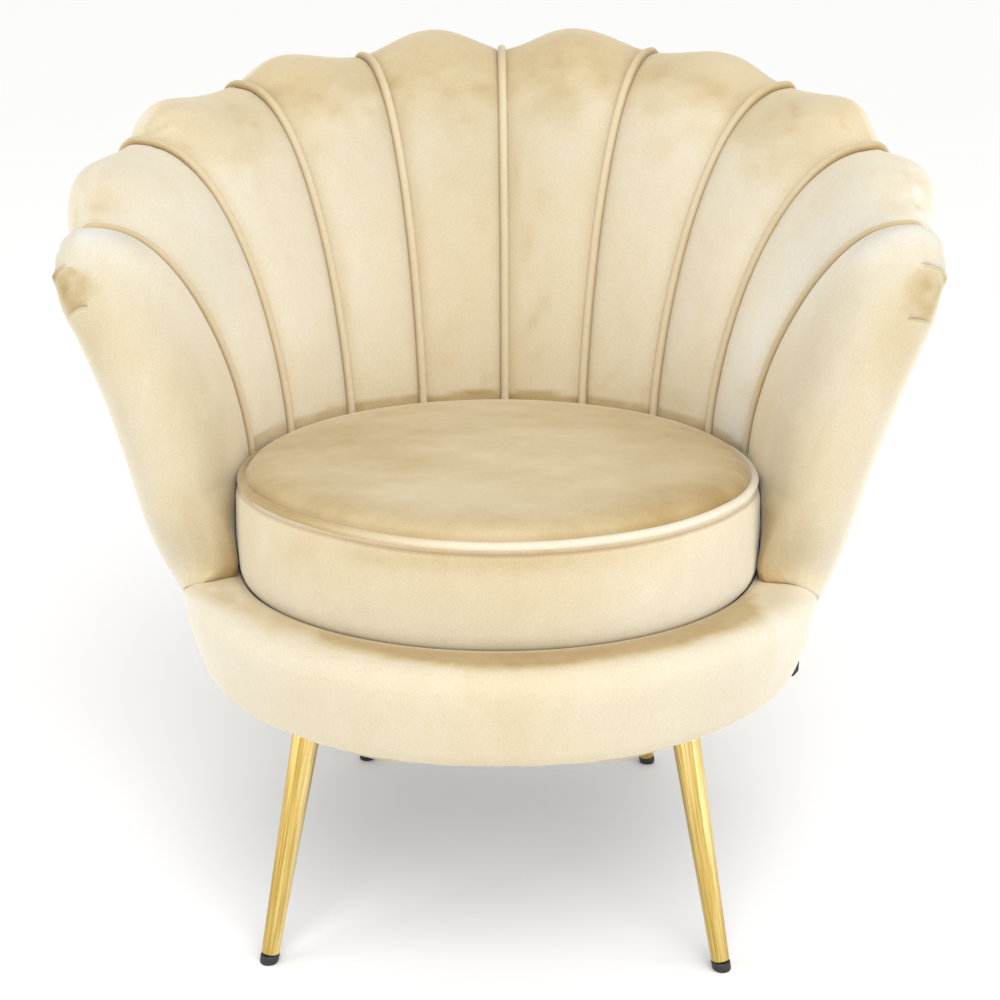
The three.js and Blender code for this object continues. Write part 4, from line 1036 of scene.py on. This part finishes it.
def cover():
    npsi, nz = 322, 96
    psi = np.linspace(-COVER_PSI - 6.5, COVER_PSI + 6.5, npsi)
    k = np.clip(seam_number(psi), 1.03, 8.97)
    v = seam_values(k)
    rc, zc = v[:, 2], v[:, 3]
    u = k - np.floor(k)
    j = np.clip(np.floor(k).astype(int), 1, 8)
    curl = hermite(np.arange(1, 10), CURL, k)
    rise = .014 * np.sin(np.pi * u) ** 2 * (np.array(LOBE_GAIN) * np.array(LOBE_REAR))[j - 1]
    ztop = zc - curl[:, 1] - .004 + rise
    rtop = rc + curl[:, 0] - .003 + .4 * rise
    s = np.linspace(0, 1, nz)
    P = np.zeros((npsi, nz, 3))
    for i in range(npsi):
        zk = np.concatenate([COVER_Z[COVER_Z < ztop[i] - .045], [ztop[i]]])
        rk = np.concatenate([COVER_R[:len(zk) - 1], [rtop[i]]])
        low = .2148 + .088 * step(COVER_PSI, COVER_PSI + 1.2, abs(psi[i]))
        z = low + (ztop[i] - low) * s
        r = hermite(zk, rk, z)
        q = math.radians(psi[i])
        P[i] = np.stack([r * math.sin(q), r * math.cos(q), z], -1)
    S = np.broadcast_to(s[None], (npsi, nz))
    PS = np.broadcast_to(psi[:, None], (npsi, nz))
    radial = unit(P * np.array([1, 1, 0]))
    h = .0012 * cloud(P, .11, 201, 3)
    # tension folds hanging from the blind seam under the rim
    pull = np.maximum(0, lattice(np.stack([PS / 3.1, 0 * PS, 0 * PS], -1), 207))
    h = h - .0014 * pull * np.exp(-((1 - S) * 9))
    # upright seams that shape the cover
    for a in (-47.0, 47.0):
        dd = np.abs(PS - a) * math.pi / 180 * .35
        h = h - .0016 * np.exp(-(dd / .0022) ** 2)
    edge = np.abs(COVER_PSI - np.abs(PS)) * math.pi / 180 * .34
    h = h - .0065 * step(COVER_PSI, COVER_PSI + 1.0, np.abs(PS))
    h = h - .0030 * np.exp(-(edge / .003) ** 2)
    low = (P[..., 2] - .2148)
    h = h - .0035 * np.exp(-(low / .003) ** 2)
    h = h - .004 * np.exp(-((1 - S) / .012) ** 2)
    P = P + radial * h[..., None]
    B = P - radial * .006
    # painted shade in the upright seams, under the rim's edge and along the side edges
    crease_shade = np.zeros((npsi, nz))
    for a in (-47.0, 47.0):
        dd = np.abs(PS - a) * math.pi / 180 * .35
        crease_shade = np.maximum(crease_shade, .65 * np.exp(-(dd / .0012) ** 2))
    crease_shade = np.maximum(crease_shade, .5 * np.exp(-((1 - S) / .010) ** 2))
    crease_shade = np.maximum(crease_shade, .5 * np.exp(-(edge / .0025) ** 2))
    tone = .26 + 0 * S
    co, faces = closed_slab(P, B)
    z0 = np.zeros(S.size)
    ob = make("back_cover", co, outward(co, faces), {"tone": np.concatenate([tone.ravel(), z0]), "crease_shade": np.concatenate([crease_shade.ravel(), z0 + .4])})
    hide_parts("outer_back")
    return dress(ob, M_BACK)


cover()


# ------------------------------------------------------------------ drum
# where the brown pile of the drum's rim stops, in the picture, from the left to the right
RIM_EDGE = [(150, 586), (168, 590), (190, 593), (206, 600), (222, 606), (240, 613), (256, 621), (272, 628), (288, 631), (306, 633.5), (318, 641),
            (341, 648), (373, 654.5), (400, 659.5), (440, 665), (480, 668.5), (520, 668.5), (560, 666), (600, 661), (640, 655),
            (658, 652), (676, 648), (694.5, 642), (713, 636), (725, 632), (737, 628.5), (749, 624), (762, 619.5), (775, 614), (800, 606)]


def drum():
    s = np.concatenate([[0], np.cumsum(np.linalg.norm(np.diff(DRUM, axis=0), axis=1))])
    dens = np.concatenate([np.linspace(0, s[3], 12)[:-1], np.linspace(s[3], s[-1], 120)])
    prof = hermite(s, DRUM, dens)
    prof[0, 0] = 0
    lower = np.array([[.259, .2325], [.20, .2335], [0, .2335]])
    full = np.concatenate([prof, lower])
    seg = 480
    info = {}

    def shape(P, a):
        ang = np.degrees(np.arctan2(np.sin(a), np.cos(a)))       # 0 = +X, -90 = front
        A = np.broadcast_to(ang[:, None], P.shape[:2])
        r = np.hypot(P[..., 0], P[..., 1])
        radial = unit(P * np.array([1, 1, 0]))
        outer = step(.25, .285, r)
        h = .0009 * cloud(P, .09, 301, 3) * outer
        P = P.copy()
        # the rim's inner edge is a thin sewn fold, drawn tight round the cushion
        P[..., 2] = P[..., 2] + .0007 * np.exp(-((r - .2412) / .0011) ** 2) * (P[..., 2] > .312)
        P[..., 0] = P[..., 0] + CUSH_X * (1 - step(.248, .275, r)) * (P[..., 2] > .30)
        # pulls in the cloth where the arms bear on the rim
        for side in (-1, 1):
            c = np.array([side * .258, -.076, .320])
            dv = P - c
            dist = np.linalg.norm(dv, axis=-1)
            along = dv[..., 0] * side * .82 + dv[..., 1] * -.35
            across_ = -dv[..., 1] * .82 + dv[..., 0] * side * .35
            fan = lattice(np.stack([across_ / .0065 + .8 * along / .02, along / .030, 0 * along + side], -1), 311)
            k = np.exp(-(dist / .036) ** 2) * step(0, .006, across_) * (P[..., 2] > .30)
            P[..., 2] = P[..., 2] + .0011 * fan * k * step(.244, .25, r)
        # gathers in the hem underneath
        under = np.exp(-((P[..., 2] - .229) / .004) ** 2) * (r > .255) * (P[..., 2] < .24)
        g = lattice(np.stack([A / 2.1, 0 * A, 0 * A], -1), 321)
        P = P + radial * h[..., None]
        P[..., 2] = P[..., 2] + .0011 * g * under
        for c, w in ((-111, 9), (-66, 8)):
            P[..., 2] = P[..., 2] - .0026 * np.exp(-((A - c) / w) ** 2) * under * (1 + .5 * g)
        info["P"] = P
        info["r"] = r
        return P

    co, faces = lathe(full, seg, fn=shape)
    P, r = info["P"], info["r"]
    px = pixel(P)
    # the rim's pile lies the other way: a brown band with a ragged lower border
    dist, where, sg = near_line(px, RIM_EDGE)
    inside = np.where(sg > 0, dist, -dist)
    rag = 1.7 * cloud(P, .020, 331, 3, (1, 1, 1)) + 1.0 * cloud(P, .005, 333, 2)
    streak = .5 * lattice(np.stack([np.degrees(np.arctan2(P[..., 1], P[..., 0])) / .8, r / .05, 0 * r], -1), 335)
    soft = 6.0 + 3.5 * np.exp(-((px[..., 0] - 250) / 70) ** 2) + 4.5 * step(735, 765, px[..., 0])
    front = P[..., 1] < .02
    top = step(-1, 1, (inside + rag + streak) / soft) * front * (P[..., 2] > .30)
    ring = step(.2885, .2845, r) * 1.0
    right = 1 - .80 * step(744, 762, px[..., 0] + 12 * cloud(P, .012, 341, 2) - .55 * (px[..., 1] - 600))
    left = .75 + .5 * cloud(P, .014, 343, 3) * np.exp(-((px[..., 0] - 235) / 60) ** 2)
    top = np.where(front, top * right * np.where(px[..., 0] < 320, left, 1), ring * (P[..., 2] > .30))
    weight = 1 - .42 * np.exp(-((px[..., 0] - 225) / 75) ** 2) - .22 * np.exp(-((px[..., 0] - 790) / 60) ** 2)
    across_front = np.clip(np.abs(P[..., 0]) / .29, 0, 1)
    # painted sheen: the front is paler towards the drum's sides
    body = .38 - .27 * across_front ** 2.0 + .05 * cloud(P, .05, 337, 3, (1, 1, 2))
    tone = body + (.86 - body) * top * weight
    tone = tone + .10 * np.exp(-((px[..., 0] - 775) / 20) ** 2) * np.exp(-((px[..., 1] - 597) / 10) ** 2) * front
    cr0 = np.hypot(P[..., 0] - CUSH_X, P[..., 1])
    # painted highlight along the sewn fold at the rim's inner edge
    tone = tone - .40 * np.exp(-((cr0 - .2412) / .0009) ** 2) * (P[..., 2] > .312)
    cr = np.hypot(P[..., 0] - CUSH_X, P[..., 1])
    # painted shade: in the gap round the cushion, on the underside, and the darkest brown on the rim under the cushion
    crease_shade = .26 * np.exp(-(np.clip(cr - .2420, 0, 1) / .0040) ** 1.2) * (P[..., 2] > .31)
    under = (P[..., 2] < .2312) * 1.0
    crease_shade = np.maximum(crease_shade, .45 * under)
    crease_shade = np.where((cr < .2408) & (cr > .226) & (P[..., 2] > .30), .06, crease_shade)
    tone = np.where((cr < .2408) & (cr > .226) & (P[..., 2] > .30), 1.0, tone)
    tone_all = np.concatenate([tone.ravel(), [.5, .5]])
    crease_all = np.concatenate([crease_shade.ravel(), [.8, .8]])
    # painted shade on the drum's front, which stands in more light
    painted_dim = ((.05 + .03 * step(.05, .2, P[..., 0])) * (1 - step(.20, .28, np.abs(P[..., 0])))) * front * (1 - step(.298, .318, P[..., 2]))
    ob = make("drum_velvet", co, faces, {"tone": tone_all, "crease_shade": crease_all, "painted_dim": np.concatenate([painted_dim.ravel(), [0, 0]])})
    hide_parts("drum_cover")
    return dress(ob, M_VELVET)


drum()


# ------------------------------------------------------------------ seat cushion
PIPE_RING = CUSH_R - .0056            # radius of the piping's centre line


def cushion_profile():
    """Outer line from the top's centre over the edge to the bottom's centre."""
    R, z0, z1 = CUSH_R, CUSH_Z0, CUSH_Z1
    top = [(0, z1 + .0230), (.06, z1 + .0229), (.12, z1 + .0222), (.165, z1 + .0207), (.195, z1 + .0187), (.211, z1 + .0162), (.2215, z1 + .0128),
           (.2285, z1 + .0082), (PIPE_RING - .0035, z1 + .0030)]
    edge = [(PIPE_RING + .0012, z1 - .0010), (PIPE_RING + .0030, z1 - .0052)]
    band = [(R - .0008, z1 - .012), (R + .0006, z1 - .030), (R + .0008, z1 - .048), (R + .0003, z1 - .064), (R - .0012, z0 + .0120), (R - .0034, z0 + .0060),
            (R - .0090, z0 + .0018), (R - .020, z0)]
    bottom = [(.12, z0), (0, z0)]
    return np.array(top + edge + band + bottom)


def cushion():
    raw = cushion_profile()
    s = np.concatenate([[0], np.cumsum(np.linalg.norm(np.diff(raw, axis=0), axis=1))])
    prof = hermite(s, raw, np.linspace(0, s[-1], 190))
    prof[0, 0] = prof[-1, 0] = 0
    prof[:, 0] = np.clip(prof[:, 0], 0, CUSH_R + .002)
    prof[0, 1], prof[-1, 1] = raw[0, 1], raw[-1, 1]
    prof[-30:, 1] = np.where(prof[-30:, 0] < CUSH_R - .024, CUSH_Z0, prof[-30:, 1])
    seg = 360
    info = {}

    def front_rise(P):
        """The front edge of the top stands a little higher, most at the left."""
        f = np.clip(-P[..., 1] / CUSH_R, 0, 1)
        side = np.clip(-P[..., 0] / CUSH_R, -1, 1)
        return .0052 * np.clip(f / .5, 0, 1) ** .8 * (1 + .45 * np.exp(-((side - .62) / .3) ** 2))

    def shape(P, a):
        r = np.hypot(P[..., 0], P[..., 1])
        z = P[..., 2]
        radial = unit(P * np.array([1, 1, 1e-9]))
        topm = step(CUSH_Z1 - .002, CUSH_Z1 + .003, z)
        P = P.copy()
        P[..., 2] = P[..., 2] + front_rise(P) * step(.13, .236, r) * step(CUSH_Z0 + .02, CUSH_Z1 - .004, z)
        P[..., 2] = P[..., 2] + topm * (.0020 * cloud(P, .10, 401, 3) * step(.004, .03, r) * (1 - step(.19, .225, r)))
        band = (1 - topm) * step(CUSH_Z0 + .002, CUSH_Z0 + .02, z)
        P = P + radial * (band * .0014 * cloud(P, .06, 403, 3, (1, 1, .8)))[..., None]
        # soft pulls just under the piping
        A = np.arctan2(P[..., 1], P[..., 0])
        g = lattice(np.stack([A * 16, 0 * A, 0 * A], -1), 405)
        P = P + radial * (band * .0006 * g * np.exp(-(np.clip(CUSH_Z1 - z, 0, 1) / .016) ** 2))[..., None]
        info["P"] = P
        return P

    co, faces = lathe(prof, seg, (CUSH_X, 0), fn=shape)
    P = info["P"]
    r = np.hypot(P[..., 0], P[..., 1])
    z = P[..., 2]
    z = z - front_rise(P) * step(.13, .236, r) * step(CUSH_Z0 + .02, CUSH_Z1 - .004, z)
    topm = step(CUSH_Z1 - .002, CUSH_Z1 + .002, z)
    xs = P[..., 0] / CUSH_R
    top_tone = .64 + (.16 + .12 * (xs > 0)) * np.abs(xs) ** 1.5 + .06 * step(.02, .20, P[..., 1]) + .16 * cloud(P, .045, 411, 3, (1.5, 1, 1))
    # painted sheen makes the band paler towards its sides; painted shadow browns it just under the front piping
    band_tone = .46 - .22 * np.clip(xs, 0, 1) ** 1.3 - .10 * np.clip(-xs, 0, 1) ** 2 - .12 * step(.055, .02, z - CUSH_Z0)
    band_tone = band_tone + .20 * np.exp(-((CUSH_Z1 - .012 - z) / .010) ** 2) * np.exp(-(xs / .55) ** 2)
    tone = np.where(topm > .5, top_tone, band_tone)
    tone = tone + .8 * marks(P + np.array([CUSH_X, 0, 0]), SEAT_MARKS)
    # painted shade: in the valley inside the piping on the top, a dark line under the piping, and dark brown along the
    # bottom edge
    crease_shade = .15 * np.exp(-(np.abs(r - (PIPE_RING - .0042)) / .0022) ** 2) * (z > CUSH_Z1 - .001)
    crease_shade = np.maximum(crease_shade, (.66 - .20 * step(-.2, -.7, xs)) * np.exp(-(np.abs(z - (CUSH_Z1 - .0056)) / .0016) ** 2) * (r > CUSH_R - .01))
    crease_shade = np.maximum(crease_shade, .12 * (1 - step(CUSH_Z0 + .002, CUSH_Z0 + .010, z)))
    tone = tone + (.96 - tone) * (1 - step(CUSH_Z0 + .002, CUSH_Z0 + .012, z))
    ob = make("seat_cushion_cover", co, faces, {"tone": np.concatenate([tone.ravel(), [.62, .5]]), "crease_shade": np.concatenate([crease_shade.ravel(), [0, .8]])})
    # painted shade on the front of the band
    painted_dim = .085 * np.exp(-(xs / .62) ** 2) * (P[..., 1] < 0) * (topm < .5)
    shade = ob.data.attributes.new("painted_dim", "FLOAT", "POINT")
    shade.data.foreach_set("value", np.concatenate([painted_dim.ravel(), [0, 0]]).astype(np.float32))
    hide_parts("cushion_top", "cushion_band", "cushion_bottom", "cushion_core")
    dress(ob, M_VELVET, "cushion")

    # piping round the top edge, level with the top
    seg, sides = 460, 18
    a = 2 * np.pi * np.arange(seg) / seg
    c = np.stack([PIPE_RING * np.cos(a), PIPE_RING * np.sin(a), np.full(seg, CUSH_Z1 + .0004)], -1)
    c[:, 2] += .0005 * cloud(c, .05, 421, 2) + front_rise(c) * .88
    rad_ = unit(c * np.array([1, 1, 0]))
    b = 2 * np.pi * np.arange(sides) / sides
    rr = .0039 * (1 + .03 * cloud(c, .014, 423, 2))
    ring = c[:, None] + rr[:, None, None] * (np.cos(b)[None, :, None] * rad_[:, None] + np.sin(b)[None, :, None] * np.array([0, 0, 1.0]))
    faces = [grid_faces(seg, sides, wrap=True)]
    k = np.arange(seg)
    k2 = (k + 1) % seg
    faces = [np.concatenate([faces[0], np.stack([k * sides + sides - 1, k2 * sides + sides - 1, k2 * sides, k * sides], -1)])]
    co = ring.reshape(-1, 3) + np.array([CUSH_X, 0, 0])
    # painted shade on the cord's inner side, against the top
    inner = np.clip(-np.cos(b - .3), 0, 1)[None, :] * np.ones((seg, 1))
    # brown on the left, pale on the right, as the pile of the strip runs round
    run = .26 + .62 * step(.05, -.85, np.cos(a))[:, None] + 0 * inner - .08 * step(.0, .6, np.cos(a))[:, None] + .25 * step(.1, .5, np.sin(a))[:, None]
    ob = make("seat_cushion_piping", co, outward(co, faces), {"tone": run.ravel(), "crease_shade": (.6 * step(.6, .98, inner)).ravel()})
    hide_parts("cushion_piping")
    dress(ob, M_PIPING, "cushion")


cushion()


# ------------------------------------------------------------------ legs
def leg_axis(key, z):
    tx, ty = LEG_TIPS[key]
    dx, dy = LEG_LEAN[key]
    f = np.asarray(z, float) / LEG_TOP
    return np.stack([tx + dx * f, ty + dy * f, np.asarray(z, float)], -1)


def leg(key):
    z = np.concatenate([[.0085, .0087, .0092, .0100], np.linspace(.013, .2309, 40)])
    path = leg_axis(key, z)
    r = np.interp(z, [.0103, .2309], [.0081, .0130])
    r[:4] = [.0068, .0075, .0079, .0081]
    axis = unit(path[-1] - path[0])
    ref = np.array([1.0, 0, 0])
    n = unit(ref - axis * np.dot(ref, axis))
    co, faces = tube(path, r, 56, roll=np.broadcast_to(n, path.shape))
    ob = make("leg_%s" % key, co, faces)
    # round the tube, and slowly along it
    turn = np.zeros((len(co), 3))
    off = co[:-2].reshape(len(z), 56, 3) - path[:, None]
    b_ = np.cross(axis, n)
    turn[:-2] = np.stack([off @ n, off @ b_, 0 * off[..., 0]], -1).reshape(-1, 3)
    turn[:-2] = unit(turn[:-2])
    turn[:-2, 2] = np.repeat(z * 2.2, 56) + 3.1 * list(LEG_TIPS).index(key)
    turn[-2:] = turn[0]
    va = ob.data.attributes.new("drawn_and_reflection_streaks", "FLOAT_VECTOR", "POINT")
    va.data.foreach_set("vector", turn.astype(np.float32).ravel())
    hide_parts("leg_tube_" + key)
    dress(ob, M_GOLD)
    zz = np.array([0, .0004, .0012, .0026, .0050, .0072, .0082, .0086])
    rr = np.array([.0066, .0075, .0081, .0084, .0085, .0085, .0083, .0066])
    path = leg_axis(key, zz)
    ring_up = np.array([0, 0, 1.0])
    a = 2 * np.pi * np.arange(48) / 48
    ring = path[:, None] + rr[:, None, None] * np.stack([np.cos(a), np.sin(a), 0 * a], -1)[None]
    m, sides = len(zz), 48
    co = np.concatenate([ring.reshape(-1, 3), path[:1], path[-1:]])
    i, jj = np.meshgrid(np.arange(m - 1), np.arange(sides), indexing="ij")
    j2 = (jj + 1) % sides
    q = np.stack([i * sides + jj, i * sides + j2, (i + 1) * sides + j2, (i + 1) * sides + jj], -1).reshape(-1, 4)
    k = np.arange(sides)
    k2 = (k + 1) % sides
    t0 = np.stack([np.full(sides, m * sides), k2, k], -1)
    t1 = np.stack([np.full(sides, m * sides + 1), (m - 1) * sides + k, (m - 1) * sides + k2], -1)
    ob = make("foot_%s" % key, co, outward(co, [q, np.concatenate([t0, t1])]))
    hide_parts("foot_cap_" + key)
    dress(ob, M_BLACK)


for key in LEG_TIPS:
    leg(key)

# ------------------------------------------------------------------ dark strip under the shell's lower edge
def trim():
    psi = np.concatenate([-np.array([90.5, 90, 89, 88.2, 87]), np.linspace(-84, 84, 120), np.array([87, 88.2, 89, 90, 90.5])])
    z = np.array([.2030, .2032, .2040, .2060, .2085, .2110, .2130, .2138])
    out = np.interp(np.abs(psi), [84, 87, 88.2, 89, 90, 90.5], [.2868, .2854, .2842, .2822, .2800, .2785])
    inn = np.interp(np.abs(psi), [84, 90.5], [.268, .2735])
    ease = np.array([.0016, .0008, .0002, 0, 0, 0, .0002, .0010])
    q = np.radians(psi)[:, None]
    grids = []
    for r in (out[:, None] - ease, inn[:, None] + ease):
        grids.append(np.stack([r * np.sin(q), r * np.cos(q), z[None] + 0 * r], -1))
    co, faces = closed_slab(grids[0], grids[1])
    ob = make("rear_trim_cloth", co, outward(co, faces))
    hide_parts("rear_trim")
    dress(ob, M_CLOTH)


trim()

# ------------------------------------------------------------------ scalloped top rail, kept clear of the cover
def rail():
    src = NODES["top_rail"]
    co = np.array([src.matrix_world @ v.co for v in src.data.vertices]) - np.array([0, YS, 0])
    r = np.hypot(co[:, 0], co[:, 1])[:, None]
    co = co * np.where([[1, 1, 0]], 1 - .006 / r, 1)
    sides = {}
    for f in src.data.polygons:
        sides.setdefault(len(f.vertices), []).append(tuple(f.vertices))
    ob = make("top_rail_ply", co, [np.array(sides[n]) for n in sorted(sides)], sharp=True)
    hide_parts("top_rail")
    dress(ob, M_PLY)


rail()

# ------------------------------------------------------------------ carried-over pieces
CARRIED = {
    "dust_cover": M_CLOTH, "inner_board": M_PLY, "lower_rail": M_PLY,
    "rib_left": M_PLY, "rib_right": M_PLY, "arm_post_left": M_PLY, "arm_post_right": M_PLY, "base_hoop": M_PLY,
    "base_panel": M_PLY, "border_pad": M_FOAM, "deck_pad": M_FOAM, "strap_cross_1": M_WEB, "strap_cross_2": M_WEB,
    "strap_long_1": M_WEB, "strap_long_2": M_WEB}
for key in LEG_TIPS:
    CARRIED["leg_stud_" + key] = M_STEEL
    CARRIED["leg_block_" + key] = M_PLY
for name, mat in CARRIED.items():
    ob = NODES[name]
    for i in range(len(ob.material_slots)):
        ob.material_slots[i].material = mat

# ------------------------------------------------------------------ camera, floor, light
cam_data = bpy.data.cameras.new("camera")
cam_data.sensor_fit = "AUTO"
cam_data.sensor_width = 36
cam_data.lens = CAM_F * 36 / 1000
cam = bpy.data.objects.new("camera", cam_data)
scene.collection.objects.link(cam)
cam.location = CAM_AT
cam.rotation_euler = (math.pi / 2 - CAM_TILT, 0, CAM_TURN)
scene.camera = cam

bpy.ops.mesh.primitive_plane_add(size=60, location=(0, 0, 0))
floor = bpy.context.object
floor.name = "floor"
gf = Graph("pale_floor")
pf = gf.node("ShaderNodeBsdfPrincipled")
nf = gf.noise(gf.coords(), 3.0, 3.0)
gf.link(gf.ramp(nf, [(0, (.955, .952, .945)), (1, (.97, .968, .962))]), pf.inputs["Base Color"])
pf.inputs["Roughness"].default_value = .9
pf.inputs["Specular IOR Level"].default_value = .1
gf.link(pf.outputs[0], gf.out.inputs["Surface"])
floor.data.materials.append(gf.mat)

world = bpy.data.worlds.new("studio")
scene.world = world
world.use_nodes = True
wt = world.node_tree
bg = wt.nodes["Background"]
bg.inputs[1].default_value = .62
wc = wt.nodes.new("ShaderNodeTexCoord")
wg = wt.nodes.new("ShaderNodeSeparateXYZ")
wt.links.new(wc.outputs["Generated"], wg.inputs[0])
# white all round, with a soft grey stretch at each side that polished metal can show
wa = wt.nodes.new("ShaderNodeMath")
wa.operation = "ABSOLUTE"
wt.links.new(wg.outputs["X"], wa.inputs[0])
wr = wt.nodes.new("ShaderNodeValToRGB")
wt.links.new(wa.outputs[0], wr.inputs[0])
stops = [(0, 1.0), (.70, 1.0), (.76, 1.2), (.84, 1.2), (.90, .62), (1, .55)]
while len(wr.color_ramp.elements) < len(stops):
    wr.color_ramp.elements.new(.5)
for e, (at, v) in zip(wr.color_ramp.elements, stops):
    e.position = at
    e.color = (v, v, v, 1)
wt.links.new(wr.outputs[0], bg.inputs[0])


def area(name, at, to, size, watts, colour=(1, 1, 1)):
    d = bpy.data.lights.new(name, "AREA")
    d.shape = "RECTANGLE"
    d.size, d.size_y = size
    d.energy = watts
    d.color = colour
    o = bpy.data.objects.new(name, d)
    scene.collection.objects.link(o)
    o.location = at
    from mathutils import Vector
    o.rotation_euler = (Vector(to) - Vector(at)).to_track_quat("-Z", "Y").to_euler()
    return o


def sun(name, towards, strength, softness):
    d = bpy.data.lights.new(name, "SUN")
    d.energy = strength
    d.angle = math.radians(softness)
    o = bpy.data.objects.new(name, d)
    scene.collection.objects.link(o)
    from mathutils import Vector
    o.rotation_euler = Vector(towards).to_track_quat("-Z", "Y").to_euler()
    return o


sun("key", (-.22, 1.0, -.88), 1.95, 55)
area("front", (0.3, -3.6, 1.9), (0, 0, .4), (3.2, 2.0), 25)
area("side_left", (-2.9, -1.2, 1.3), (0, 0, .4), (1.6, 1.8), 22)
area("side_right", (2.9, -1.2, 1.3), (0, 0, .4), (1.6, 1.8), 22)
area("strip_left", (-1.75, -1.45, .75), (-.1, 0, .35), (.10, 1.5), 3)
area("strip_right", (1.75, -1.45, .75), (.1, 0, .35), (.10, 1.5), 3)

vs = scene.view_settings
vs.view_transform = "Standard"
vs.look = "None"
vs.exposure = 0
vs.gamma = 1
